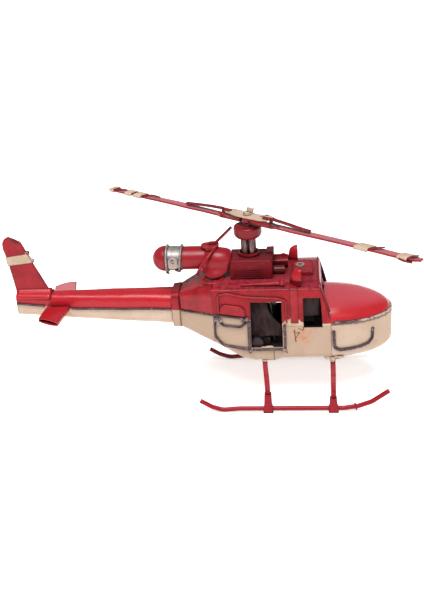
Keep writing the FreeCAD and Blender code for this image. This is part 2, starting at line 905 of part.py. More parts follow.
def mast():
    """The collar ring, the bundle of rods and the round disc that carries the rotor's pin."""
    ring = cut(
        "MastCollar",
        primitive("Cylinder", "CollarOuter", ("0", "0", "cowl_top_z"),
                  Radius="collar_radius", Height="collar_height"),
        primitive("Cylinder", "CollarInner", ("0", "0", "cowl_top_z"),
                  Radius="rod_ring + rod_radius + 0.2", Height="collar_height"),
    )
    finish(ring, "mast_collar")
    rods = []
    for number in range(5):
        angle = math.radians(18 + 72 * number)
        rods.append(
            primitive(
                "Cylinder", "MastRod%d" % number,
                ("rod_ring*%.4f" % math.cos(angle), "rod_ring*%.4f" % math.sin(angle), "cowl_top_z"),
                Radius="rod_radius", Height="disc_low_z - cowl_top_z + 2",
            )
        )
    finish(group("MastRods", *rods), "mast_rods")
    body = new_body("MastDisc")
    section = outline(
        body, "DiscSection", "XZ_Plane",
        [
            ("rod_ring + rod_radius + 0.2", "disc_low_z"),
            ("disc_radius", "disc_low_z"),
            ("disc_radius", "disc_high_z"),
            ("pin_radius", "disc_high_z"),
            ("pin_radius", "disc_low_z + 2"),
            ("rod_ring + rod_radius + 0.2", "disc_low_z + 2"),
        ],
    )
    turn = body.newObject("PartDesign::Revolution", "DiscTurn")
    turn.Profile = section
    turn.ReferenceAxis = (section, ["V_Axis"])
    turn.Angle = 360

    def outer_edge(height):
        def picked(edge):
            box = edge.BoundBox
            return abs(box.ZMax - height) < 0.01 and box.XLength > 1.9 * size["disc_radius"]
        return picked

    feature = round_edges(body, "DiscLowEdge", turn, outer_edge(size["disc_low_z"]), "3.6")
    round_edges(body, "DiscHighEdge", feature, outer_edge(size["disc_high_z"]), "1.6")
    finish(body, "mast_disc")


def exhaust():
    """The domed tube with its band, wire rings, elbow, flange, wrap and rod."""
    along = Rotation(Vector(0, 1, 0), 90)
    axis = ("tube_rear", "0", "tube_z")

    def tube(name, start, finish_at, radius, thickness):
        where = (start, "0", "tube_z")
        length = "(%s) - (%s)" % (finish_at, start)
        outer = primitive("Cylinder", name + "Outer", where, along, Radius=radius, Height=length)
        inner = primitive(
            "Cylinder", name + "Inner", where, along, Radius="%s - %s" % (radius, thickness), Height=length
        )
        return cut(name, outer, inner)

    finish(tube("ExhaustTube", "tube_rear", "tube_front", "tube_radius", "wall"), "exhaust_tube")
    finish(tube("ExhaustBand", "band_rear", "band_front", "tube_radius + 0.5", "0.5"), "exhaust_band")
    upper = half_bowl("CapUpper", axis, "cap_length", "cap_radius", "cap_radius", "wall", forward=False)
    lower = doc.addObject("Part::Mirroring", "CapLower")
    lower.Source = upper
    lower.Normal = Vector(0, 0, 1)
    bind(lower, "Base.z", "tube_z")
    finish(fuse("ExhaustCap", upper, lower), "exhaust_cap")
    rings = []
    for number, place in enumerate(("band_rear", "band_front")):
        rings.append(
            primitive("Torus", "BandRing%d" % number, (place, "0", "tube_z"), along,
                      Radius1="tube_radius + 1.2", Radius2="0.7")
        )
        twist_x = size[place] + 0.5
        low = size["tube_z"] - size["tube_radius"] - 1.6
        twist = bent_wire([(twist_x, -2.6, low), (twist_x + 1.4, -3.4, low - 2.2)], 0.8)
        rings.append(shaped("RingTwist%d" % number, [twist]))
    finish(group("BandRings", *rings), "band_rings")

    ball = primitive("Sphere", "ElbowBall", ("elbow_x", "elbow_y", "elbow_z"), Radius="elbow_radius")
    lean = Vector(
        size["elbow_x"] - size["foot_x"], size["elbow_y"] - size["foot_y"], size["elbow_z"] - size["roof_z"]
    )
    neck = primitive(
        "Cone", "ElbowNeck", ("foot_x", "foot_y", "roof_z"), Rotation(Vector(0, 0, 1), lean),
        Radius1="foot_radius", Radius2="elbow_radius - 1.6", Height=str(round(lean.Length, 3)),
    )
    elbow = fuse("ElbowSolid", ball, neck)
    doc.recompute()
    inside = doc.addObject("Part::Feature", "ElbowInside")
    inside.Shape = Part.makeSphere(
        size["elbow_radius"] - size["wall"], Vector(size["elbow_x"], size["elbow_y"], size["elbow_z"])
    )
    hollow_elbow = cut("ElbowHollow", elbow, inside)
    tube_space = primitive(
        "Cylinder", "TubeSpace", ("tube_rear", "0", "tube_z"), along,
        Radius="tube_radius", Height="tube_front - tube_rear",
    )
    below = block("ElbowBelow", "-60", "20", "-40", "40", "roof_z - 30", "roof_z + 0.4")
    ahead = block("ElbowAhead", "cowl_rear", "20", "-40", "40", "roof_z - 5", "roof_z + 40")
    keep = cut("ElbowOpen", hollow_elbow, fuse("ElbowCutters", tube_space, below, ahead))
    finish(group("ExhaustElbow", keep), "exhaust_elbow")
    ring = primitive("Torus", "FlangeRing", ("foot_x", "foot_y", "roof_z + 0.9"), Radius1="foot_radius + 1.2",
                     Radius2="0.8")
    finish(cut("ElbowFlange", ring, elbow), "elbow_flange")
    elbow_wrap(elbow)


def elbow_wrap(elbow):
    """The wire wrapped slantwise round the tube, its flat loop and the rod."""
    radius = 0.9
    slant = math.radians(36)
    around = size["tube_radius"] + radius + 0.05
    centre = Vector(-31.0, 0, size["tube_z"])
    long_axis = Vector(math.sin(slant), 0, math.cos(slant))
    across = Vector(0, 1, 0)
    ring = Part.Ellipse(
        centre + long_axis * (around / math.cos(slant)), centre + across * around, centre
    )
    wrap = wire_solid(Part.Wire(ring.toShape()), radius)
    top = Vector(-27.7, -1.0, size["tube_z"] + size["tube_radius"] + 1.6)
    loop = Part.Ellipse(top + Vector(4.9, 0.0, 0.0), top + Vector(0, -3.4, 0.0), top)
    twist = wire_solid(Part.Wire(loop.toShape()), 1.2)
    wires = fuse("WrapWires", shaped("WrapRing", [wrap]), shaped("WrapLoop", [twist]))
    finish(group("ElbowWrap", cut("WrapTrim", wires, elbow)), "elbow_wrap")
    rod = bent_wire([(-26.4, -1.0, top.z - 1.2), (-11.3, -1.0, 130.6)], 1.1)
    finish(cut("AntennaRod", shaped("RodRound", [rod]), wires), "antenna_rod")


def eyelets():
    """Two rolled eyelets: one on the roof box and one on the side of the silver band."""
    rings = []
    for name, where, turn in (
        ("BoxEyelet", ("36.2", "1.4", "box_top"), None),
        ("BandEyelet", ("-55.0", "-tube_radius - 0.9", "tube_z - 0.6"), Rotation(Vector(1, 0, 0), 90)),
    ):
        outer = primitive("Cylinder", name + "Outer", where, turn, Radius="eyelet_radius", Height="0.9")
        hole = primitive("Cylinder", name + "Hole", where, turn, Radius="eyelet_hole", Height="0.9")
        rings.append(cut(name, outer, hole))
    finish(group("Eyelets", *rings), "eyelets")


def roof_fittings(strap):
    """The chute, the dark pipe, the hoods, the box and the side rods."""
    along = Rotation(Vector(0, 1, 0), 90)
    trough = cut(
        "ChuteTrough",
        primitive("Cylinder", "ChuteOuter", ("cowl_front", "8.5", "102.6"), along,
                  Radius="6.6", Height="10.5"),
        primitive("Cylinder", "ChuteInner", ("cowl_front", "8.5", "102.6"), along,
                  Radius="5.9", Height="10.5"),
    )
    lower_half = cut("AirChute", trough, block("ChuteTop", "0", "60", "0", "20", "102.4", "120"))
    finish(lower_half, "air_chute")
    pipe = cut(
        "RoofPipe",
        primitive("Cylinder", "PipeOuter", ("cowl_front", "-5.2", "roof_z + 3"), along,
                  Radius="3", Height="8.4"),
        primitive("Cylinder", "PipeInner", ("cowl_front + 4", "-5.2", "roof_z + 3"), along,
                  Radius="2.3", Height="5"),
    )
    finish(pipe, "roof_pipe")
    hood = half_bowl(
        "IntakeHood", ("hood_face_x", "-hood_y", "roof_side_z + 0.5"), "hood_depth", "hood_half",
        "hood_height", "0.7", forward=False,
    )
    under = plate(
        "UnderHoods", "YZ_Plane",
        [
            ("-cabin_half", "roof_side_z - 5"),
            ("cabin_half", "roof_side_z - 5"),
            ("cabin_half", "roof_side_z"),
            ("roof_flat_half", "roof_z"),
            ("-roof_flat_half", "roof_z"),
            ("-cabin_half", "roof_side_z"),
        ],
        "200",
    )
    trimmed = cut("HoodTrim", hood, fuse("HoodCutters", under, strap))
    finish(both_sides("IntakeHoods", trimmed), "intake_hoods")
    shell = cut(
        "RoofBox",
        block("BoxOuter", "box_rear", "box_front", "box_right", "box_left", "roof_z", "box_top"),
        block("BoxInner", "box_rear + wall", "box_front - wall", "box_right + wall", "box_left - wall",
              "roof_z", "box_top - wall"),
    )
    finish(cut("RoofBoxTrim", shell, strap), "roof_box")
    lean = Vector(27.4, -0.4, 1.4)
    rod = primitive(
        "Cone", "SideRod", ("-5", "-23.6", "roof_side_z + 1.9"), Rotation(Vector(0, 0, 1), lean),
        Radius1="0.5", Radius2="1.4", Height="27.5",
    )
    cap = primitive(
        "Cylinder", "RodCap", ("22.4", "-24", "roof_side_z + 3.3"), Rotation(Vector(0, 0, 1), lean),
        Radius="2.1", Height="3",
    )
    finish(both_sides("SideRods", fuse("RodWithCap", rod, cap)), "side_rods")


# ---------------------------------------------------------------- tail


def fin():
    """The upright fin, its foot angles and the cream band crimped round it."""
    blade = plate(
        "Fin", "XZ_Plane",
        [
            ("-176.2", "fin_base_z"),
            ("-150.4", "fin_base_z"),
            ("-160.6", "107.4"),
            ("-167.1", "123.2"),
            ("-171.3", "125.6"),
            ("-175.9", "fin_tip_z"),
            ("-178.9", "125.9"),
            ("-180.7", "122.8"),
            ("-180.8", "118.0"),
            ("-179.0", "110.0"),
        ],
        "2*fin_half",
    )
    finish(group("TailFin", blade), "tail_fin")
    angle = plate(
        "FinAngle", "YZ_Plane",
        [
            ("fin_half", "fin_base_z"),
            ("4", "fin_base_z"),
            ("4", "fin_base_z + 0.6"),
            ("fin_half + 0.6", "fin_base_z + 0.6"),
            ("fin_half + 0.6", "fin_base_z + 5.4"),
            ("fin_half", "fin_base_z + 5.4"),
        ],
        "22", "-165.5",
    )
    finish(both_sides("FinAngles", angle), "fin_angles")
    wrap = plate(
        "FinWrap", "XZ_Plane",
        [
            ("-179.2", "104.8"),
            ("-160.0", "107.2"),
            ("-163.2", "114.0"),
            ("-179.8", "111.6"),
        ],
        "2*fin_half + 1",
    )
    lug_low = block("FinLugLow", "-161.4", "-159.2", "-0.9", "0.9", "107.4", "109.8")
    lug_high = block("FinLugHigh", "-164.6", "-162.4", "-0.9", "0.9", "112.8", "115.4")
    finish(cut("FinBand", fuse("FinBandSolid", wrap, lug_low, lug_high), blade), "fin_band")


def tail_planes():
    """A folded hollow plane on each side of the boom, open at its tip."""
    body = new_body("TailPlane")
    sketch = outline(
        body, "PlaneOutline", "XY_Plane",
        [
            ("plane_lead_x", "-7.4"),
            ("-137.6", "-34.8"),
            ("-153.4", "-27.6"),
            ("plane_trail_x", "-7.0"),
        ],
        "(plane_low_z + plane_high_z)/2",
    )
    feature = pad(body, "PlanePad", sketch, "plane_high_z - plane_low_z")
    hollow(body, "PlaneHollow", feature, lambda face: face_normal(face).y < -0.8, "0.6")
    finish(both_sides("TailPlanes", body), "tail_planes")


def tail_rotor():
    """A pin in the fin's left face and a two-blade rotor that turns on it."""
    sideways = Rotation(Vector(1, 0, 0), -90)
    where = ("tail_pin_x", "fin_half", "tail_pin_z")
    shank = primitive("Cylinder", "TailPinShank", where, sideways, Radius="tail_pin_radius",
                      Height="tail_rotor_y + 1.6")
    head = primitive("Cylinder", "TailPinHead", ("tail_pin_x", "tail_rotor_y + 1.5", "tail_pin_z"), sideways,
                     Radius="tail_pin_radius + 0.9", Height="0.9 + fin_half")
    finish(fuse("TailPin", shank, head), "tail_rotor_pin")
    hub = primitive("Cylinder", "TailHub", ("tail_pin_x", "tail_rotor_y - 1.2", "tail_pin_z"), sideways,
                    Radius="tail_hub_radius", Height="2.4")
    blades = []
    for number, side in enumerate((1, -1)):
        lean = Rotation(Vector(0, 1, 0), -14 if side > 0 else 166)
        shape = Part.makeBox(3.6, 0.7, size["tail_rotor_reach"] - 1.5, Vector(-1.8, -0.35, 1.5))
        blade = shaped("TailBlade%d" % number, [shape])
        blade.Placement = FreeCAD.Placement(Vector(), lean)
        bind(blade, "Placement.Base.x", "tail_pin_x")
        bind(blade, "Placement.Base.y", "tail_rotor_y")
        bind(blade, "Placement.Base.z", "tail_pin_z")
        blades.append(blade)
    hole = primitive("Cylinder", "TailHole", ("tail_pin_x", "tail_rotor_y - 2", "tail_pin_z"), sideways,
                     Radius="tail_pin_radius + pin_clearance", Height="4")
    finish(cut("TailRotor", fuse("TailRotorSolid", hub, *blades), hole), "tail_rotor")


# ---------------------------------------------------------------- main rotor


def finish_rotor(thing, label):
    """Name a rotor piece and set it on the mast at the rotor's angle."""
    turn = Rotation(Vector(0, 0, 1), ROTOR_YAW).multiply(Rotation(Vector(0, 1, 0), ROTOR_TILT))
    thing.Placement = FreeCAD.Placement(Vector(), turn)
    bind(thing, "Placement.Base.z", "rotor_z")
    first_x[thing.Name] = "0"
    finish(thing, label)


def rotor_blade(name, label, side):
    """One blade: a strip with both edges folded down, drawn outward from the mast."""
    body = new_body(name)
    top = "blade_sheet"
    sketch = outline(
        body, name + "Section", "YZ_Plane",
        [
            ("-blade_half", "-blade_lip + blade_sheet"),
            ("-blade_half + blade_sheet", "-blade_lip + blade_sheet"),
            ("-blade_half + blade_sheet", "0"),
            ("blade_half - blade_sheet", "0"),
            ("blade_half - blade_sheet", "-blade_lip + blade_sheet"),
            ("blade_half", "-blade_lip + blade_sheet"),
            ("blade_half", top),
            ("-blade_half", top),
        ],
        "%d*(blade_root + blade_reach)/2" % side,
    )
    pad(body, name + "Pad", sketch, "blade_reach - blade_root")
    finish_rotor(body, label)


def pin_hole(name):
    """Room for the rotor's pin with its running clearance, upright although the rotor leans."""
    lean = math.radians(ROTOR_TILT)
    depth = 10.0
    foot = ("%.4f" % (depth * math.sin(lean)), "0", "%.4f" % (-depth * math.cos(lean)))
    return primitive(
        "Cylinder", name, foot, Rotation(Vector(0, 1, 0), -ROTOR_TILT),
        Radius="pin_radius + pin_clearance", Height="25",
    )


def rotor_centre():
    """The hub under the blades, and the cream plate over them with its upright tab."""
    strap = block("StrapPlate", "-23", "23", "-blade_half + 0.8", "blade_half - 0.8",
                  "-blade_lip + blade_sheet - 0.9", "-blade_lip + blade_sheet")
    spacer = primitive("Cylinder", "SpacerBody", ("0", "0", "-blade_lip + blade_sheet"), Radius="3.6",
                       Height="plate_lift + blade_lip - blade_sheet")
    finish_rotor(cut("RotorHub", fuse("HubSolid", strap, spacer), pin_hole("HubHole")), "rotor_hub")
    lozenge = plate(
        "PlateOutline", "XY_Plane",
        [
            ("-plate_half_length", "0.5"),
            ("-plate_half_length + 4", "plate_half_width"),
            ("plate_half_length - 8", "plate_half_width"),
            ("plate_half_length", "2"),
            ("plate_half_length", "-3"),
            ("plate_half_length - 5", "-plate_half_width"),
            ("-plate_half_length + 12", "-plate_half_width"),
            ("-plate_half_length", "-2.5"),
        ],
        "wall", "plate_lift + wall/2",
    )
    tab = plate(
        "PlateTab", "XZ_Plane",
        [
            ("-2.6", "plate_lift + wall/2"),
            ("3.4", "plate_lift + wall/2"),
            ("4.4", "plate_lift + wall + 4.6"),
            ("-1.2", "plate_lift + wall + 4.6"),
        ],
        "0.8", "-3.2",
    )
    whole = fuse("PlateWithTab", lozenge, tab)
    finish_rotor(cut("CentrePlate", whole, pin_hole("PlateHole")), "centre_plate")


def rotor_pin():
    """The pin fixed in the disc, with a shoulder under the hub and a low head over the plate."""
    shank = primitive("Cylinder", "PinShank", ("0", "0", "disc_low_z + 2"), Radius="pin_radius",
                      Height="rotor_z + plate_lift + wall + 0.5 - disc_low_z - 2")
    head = primitive("Cylinder", "PinHead", ("0", "0", "rotor_z + plate_lift + wall + 0.3"), Radius="2.5",
                     Height="1")
    shoulder = primitive("Cylinder", "PinShoulder", ("0", "0", "disc_high_z"), Radius="3",
                         Height="rotor_z - blade_lip + blade_sheet - 0.9 - 0.3 - disc_high_z")
    finish(fuse("RotorPin", shank, head, shoulder), "rotor_pin")


def stabiliser_bars():
    """The two narrow bars from the centre plate out to the blades, and their brackets."""
    bars = []
    for name, side, inner, outer in (("BarFront", 1, 20.9, 52.0), ("BarRear", -1, 20.9, 55.0)):
        bar = plate(
            name, "XZ_Plane",
            [
                ("%f" % (side * inner), "plate_lift + wall"),
                ("%f" % (side * outer), "blade_sheet + 1.1"),
                ("%f" % (side * outer), "blade_sheet + 2.4"),
                ("%f" % (side * inner), "plate_lift + wall + 1.4"),
            ],
            "2.4",
        )
        bars.append(bar)
    finish_rotor(group("StabiliserBars", *bars), "stabiliser_bars")
    feet = []
    for number, side in enumerate((1, -1)):
        feet.append(
            plate(
                "BarBracket%d" % number, "XZ_Plane",
                [
                    ("%d" % (side * 14), "plate_lift + wall"),
                    ("%d" % (side * 20), "plate_lift + wall"),
                    ("%d" % (side * 20), "blade_sheet"),
                    ("%d" % (side * 23), "blade_sheet"),
                    ("%d" % (side * 23), "blade_sheet + 0.8"),
                    ("%.1f" % (side * 20.8), "blade_sheet + 0.8"),
                    ("%.1f" % (side * 20.8), "plate_lift + wall + 0.8"),
                    ("%d" % (side * 14), "plate_lift + wall + 0.8"),
                ],
                "3.6",
            )
        )
    finish_rotor(group("BarBrackets", *feet), "bar_brackets")


def blade_bands():
    """Cream sleeves folded round the blades and the raised strip beside one of them."""
    sleeves = []
    for number, (near, far) in enumerate(((88.0, 97.0), (117.6, 124.6), (-105.0, -93.0), (-131.6, -126.4))):
        outer = block(
            "Sleeve%dOuter" % number, str(near), str(far), "-blade_half - 0.4", "blade_half + 0.4",
            "-blade_lip + blade_sheet - 0.4", "blade_sheet + 0.4",
        )
        inner = block(
            "Sleeve%dInner" % number, str(near), str(far), "-blade_half", "blade_half",
            "-blade_lip + blade_sheet", "blade_sheet",
        )
        sleeves.append(cut("Sleeve%d" % number, outer, inner))
    strip = block("RaisedStrip", "97.4", "107", "-1.8", "1.8", "blade_sheet", "blade_sheet + 1")
    wire = shaped(
        "BladeWire",
        [bent_wire([(-92.6, 0, 1.3), (-80, 0.6, 1.3)], 0.5)],
    )
    finish_rotor(group("BladeBands", *sleeves, strip, wire), "blade_bands")


# ---------------------------------------------------------------- landing gear


def skids():
    """The two skid tubes, turned up at both ends."""
    height = size["skid_z"]
    route = [(-38.2, 9.7), (-30.4, 4.6), (-22.4, 1.8), (-10.0, height), (66.0, height), (76.0, 4.5),
             (85.6, 8.1), (97.3, 17.2)]
    tube = bent_wire([(along, -size["skid_y"], up) for along, up in route], size["skid_radius"], 14.0)
    right = shaped("SkidRound", [tube])
    finish(group("SkidRight", right), "skid_right")
    finish(shaped("SkidLeft", [mirror_shape(tube)]), "skid_left")
    return right


def cross_strut(name, label, station, beam_z):
    """A bent strip under the belly that reaches down to both skids."""
    body = new_body(name)
    inner = "(skid_y - 0.6)"
    outer = "(skid_y + 0.6)"
    sketch = outline(
        body, name + "Outline", "YZ_Plane",
        [
            ("-" + outer, "skid_z + skid_radius + 0.2"),
            ("-" + outer, "strut_knee_z"),
            ("-cabin_half + 3.4", beam_z),
            ("cabin_half - 3.4", beam_z),
            (outer, "strut_knee_z"),
            (outer, "skid_z + skid_radius + 0.2"),
            (inner, "skid_z + skid_radius + 0.2"),
            (inner, "strut_knee_z - 0.6"),
            ("cabin_half - 4", beam_z + " - strut_sheet"),
            ("-cabin_half + 4", beam_z + " - strut_sheet"),
            ("-" + inner, "strut_knee_z - 0.6"),
            ("-" + inner, "skid_z + skid_radius + 0.2"),
        ],
        station,
    )
    pad(body, name + "Pad", sketch, "strut_width")
    finish(body, label)


def skid_clamps(tube):
    """Four folded clamps with flat soles, and the ring on the right skid."""
    clamps = []
    for end in ("rear", "front"):
        station = "strut_%s_x" % end
        top = "clamp_%s_top" % end
        body = new_body("Clamp" + end.title())
        side = outline(
            body, "Clamp%sSide" % end.title(), "XZ_Plane",
            [
                (station + " - clamp_base/2", "0"),
                (station + " + clamp_base/2", "0"),
                (station + " + clamp_base/2", "2.6"),
                (station + " + clamp_waist/2", "5.4"),
                (station + " + clamp_top/2", top),
                (station + " - clamp_top/2", top),
                (station + " - clamp_waist/2", "5.4"),
                (station + " - clamp_base/2", "2.6"),
            ],
            "skid_y",
        )
        pad(body, "Clamp%sPad" % end.title(), side, "2*skid_radius + 2*wall")
        slot = outline(
            body, "Clamp%sSlot" % end.title(), "YZ_Plane",
            [
                ("-skid_y - skid_radius", "wall"),
                ("-skid_y + skid_radius", "wall"),
                ("-skid_y + skid_radius", "clamp_rear_top + 5"),
                ("-skid_y - skid_radius", "clamp_rear_top + 5"),
            ],
        )
        pocket(body, "Clamp%sCut" % end.title(), slot)
        clamps += [body, mirrored(body)]
    ring = primitive(
        "Torus", "SkidRing", ("74.2", "-skid_y", "4.2"), Rotation(Vector(0, 1, 0), 75),
        Radius1="skid_radius + 0.5", Radius2="0.6",
    )
    clamps.append(cut("SkidRingTrim", ring, tube))
    finish(group("SkidClamps", *clamps), "skid_clamps")


def build():
    """Make every sub-part."""
    below = seam_block()
    cabin = cabin_skin()
    cone = tail_skin("TailCone", "cone")
    collar = tail_skin("BoomCollar", "collar")
    boom = tail_skin("TailBoom", "boom")
    part_at_seam(cabin, below, "cabin_upper", "cabin_tub")
    part_at_seam(cone, below, "tail_cone_upper", "tail_cone_lower")
    part_at_seam(collar, below, "boom_collar_upper", "boom_collar_lower")
    part_at_seam(boom, below, "tail_boom_upper", "tail_boom_lower")
    dome = nose_dome()
    pan = nose_pan()
    nose_rim_wire(dome)
    windshield_frame(dome)
    interior()
    door_panels()
    door_wires()
    seam_wires([cabin, cone])
    nose_handles(pan)
    strap = roof_strap()
    engine_cowl()
    cowl_grille()
    mast()
    exhaust()
    eyelets()
    roof_fittings(strap)
    fin()
    tail_planes()
    tail_rotor()
    rotor_blade("BladeFront", "rotor_blade_front", 1)
    rotor_blade("BladeRear", "rotor_blade_rear", -1)
    rotor_centre()
    rotor_pin()
    stabiliser_bars()
    blade_bands()
    tube = skids()
    cross_strut("StrutRear", "cross_strut_rear", "strut_rear_x", "belly_low_z")
    cross_strut("StrutFront", "cross_strut_front", "strut_front_x", "pan_low_z")
    skid_clamps(tube)
    doc.recompute()


def check():
    """Stop if any object failed or any sub-part is empty or broken."""
    failed = [item.Name for item in doc.Objects if "Invalid" in item.State or "Error" in item.State]
    if failed:
        raise RuntimeError("failed objects: %s" % failed)
    for part in subparts:
        if part.Shape.isNull() or not part.Shape.isValid() or not part.Shape.Solids:
            raise RuntimeError("bad shape: %s" % part.Label)


def export():
    """Write every sub-part and print the model's box."""
    os.makedirs("parts", exist_ok=True)
    whole = FreeCAD.BoundBox()
    for part in subparts:
        part.Shape.exportStep("parts/%s.step" % part.Label)
        box = part.Shape.BoundBox
        whole.add(box)
        print("%-22s solids %2d volume %8.1f" % (part.Label, len(part.Shape.Solids), part.Shape.Volume), box)
    print("sub-parts", len(subparts), "box", whole)


build()
check()
export()
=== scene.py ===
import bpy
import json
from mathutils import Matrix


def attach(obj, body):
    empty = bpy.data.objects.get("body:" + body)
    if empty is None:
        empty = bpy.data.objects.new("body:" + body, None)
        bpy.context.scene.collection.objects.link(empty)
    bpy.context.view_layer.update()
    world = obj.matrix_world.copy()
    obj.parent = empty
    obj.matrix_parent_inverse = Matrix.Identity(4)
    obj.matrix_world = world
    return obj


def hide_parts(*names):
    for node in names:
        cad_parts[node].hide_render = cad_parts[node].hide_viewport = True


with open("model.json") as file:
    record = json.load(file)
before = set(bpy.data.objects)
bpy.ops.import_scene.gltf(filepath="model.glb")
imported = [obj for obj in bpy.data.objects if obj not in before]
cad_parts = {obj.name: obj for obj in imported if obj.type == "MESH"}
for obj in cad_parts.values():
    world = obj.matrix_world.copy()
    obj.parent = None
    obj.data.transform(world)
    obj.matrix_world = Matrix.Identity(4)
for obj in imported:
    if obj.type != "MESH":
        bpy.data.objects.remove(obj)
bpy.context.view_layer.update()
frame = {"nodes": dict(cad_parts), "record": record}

import json
import math

import bmesh
import bpy
from mathutils import Matrix, Vector, noise

# Without a seed, noise_vector would start from the clock and differ from run to run.
noise.seed_set(5)

MM = 0.001
AIRFRAME = "airframe"
ROTOR = "main_rotor"

# Places in mm. AXIS_X is the mast's axis in the frame: pieces are placed by their distance from it.
AXIS_X = 33.98
MAST_AXIS = Vector((AXIS_X, 0, 0)) * MM
ROTOR_CENTRE = Vector((AXIS_X, 0, 135.0))
EXHAUST_Z = 107.3
ELBOW_Z = 106.4
ELBOW_Y = -3.4
ROOF_Z = 94.9
SCOOP_HIGH = 11.3
CABIN_MIDDLE = Vector((AXIS_X + 15, 0, 66)) * MM
SHEET_FOLD = 38
ROTOR_TURN = (Matrix.Rotation(math.radians(-32.6), 3, "Z")
              @ Matrix.Rotation(math.radians(1.37), 3, "Y"))


def at(along, height):
    """Distances from the mast's axis and the ground, in mm, as the frame's X and Z."""
    return (AXIS_X + along, height)


def spot_at(along, across, height):
    """A point given in mm from the mast's axis, as a point of the frame in metres."""
    return Vector((AXIS_X + along, across, height)) * MM


def on_rotor(along, across, up):
    """A point of the rotor, in mm along the blades, across them and over them."""
    return (ROTOR_TURN @ Vector((along, across, up)) + ROTOR_CENTRE) * MM


# ---- camera, light and floor

def place_camera():
    """The camera: low over the near side, a little in front of it and leaning over."""
    azimuth = math.radians(7.23)
    elevation = math.radians(26.04)
    roll = math.radians(-4.35)
    target = Vector((4.92, 0.0, 72.9)) * MM
    distance = 616.6 * MM
    back = Vector((math.sin(azimuth) * math.cos(elevation),
                   -math.cos(azimuth) * math.cos(elevation),
                   math.sin(elevation)))
    level = (-back).cross(Vector((0, 0, 1))).normalized()
    above = level.cross(-back)
    right = level * math.cos(roll) + above * math.sin(roll)
    up = above * math.cos(roll) - level * math.sin(roll)
    place = target + back * distance
    data = bpy.data.cameras.new("photo_camera")
    data.lens = 50
    data.sensor_width = 36
    data.sensor_fit = "AUTO"
    data.clip_start = 0.01
    data.clip_end = 50
    camera = bpy.data.objects.new("photo_camera", data)
    turn = Matrix((right, up, back)).transposed().to_4x4()
    camera.matrix_world = Matrix.Translation(place) @ turn
    bpy.context.scene.collection.objects.link(camera)
    bpy.context.scene.camera = camera


def lamp(name, kind, place, aim, power, **settings):
    """A light at a place, turned to shine at another."""
    data = bpy.data.lights.new(name, kind)
    data.energy = power
    for key, value in settings.items():
        setattr(data, key, value)
    made = bpy.data.objects.new(name, data)
    made.location = place
    made.rotation_euler = (Vector(aim) - Vector(place)).to_track_quat("-Z", "Y").to_euler()
    bpy.context.scene.collection.objects.link(made)


def set_stage():
    """A soft sun from above, a dim room, a weak front light and a plain pale floor."""
    scene = bpy.context.scene
    scene.view_settings.view_transform = "Standard"
    world = bpy.data.worlds.new("studio")
    world.use_nodes = True
    room = world.node_tree.nodes["Background"]
    room.inputs["Color"].default_value = (1.0, 0.985, 0.98, 1)
    room.inputs["Strength"].default_value = 0.33
    scene.world = world
    lamp("soft_sun", "SUN", (-0.1, -0.75, 1.75), (0, 0, 0), 3.5, angle=math.radians(34))
    lamp("front_box", "AREA", (0.35, -0.75, 0.62), (0.05, 0, 0.08), 0.6,
         shape="RECTANGLE", size=0.5, size_y=0.35)
    bpy.ops.mesh.primitive_grid_add(x_subdivisions=2, y_subdivisions=2, size=30)
    floor = bpy.context.object
    floor.name = "floor"
    white = bpy.data.materials.new("floor_white")
    white.use_nodes = True
    shader = white.node_tree.nodes["Principled BSDF"]
    shader.inputs["Base Color"].default_value = (0.93, 0.925, 0.925, 1)
    shader.inputs["Roughness"].default_value = 0.9
    shader.inputs["Specular IOR Level"].default_value = 0.1
    shader.inputs["Emission Color"].default_value = (1, 1, 1, 1)
    shader.inputs["Emission Strength"].default_value = 0.56
    floor.data.materials.append(white)


# ---- materials

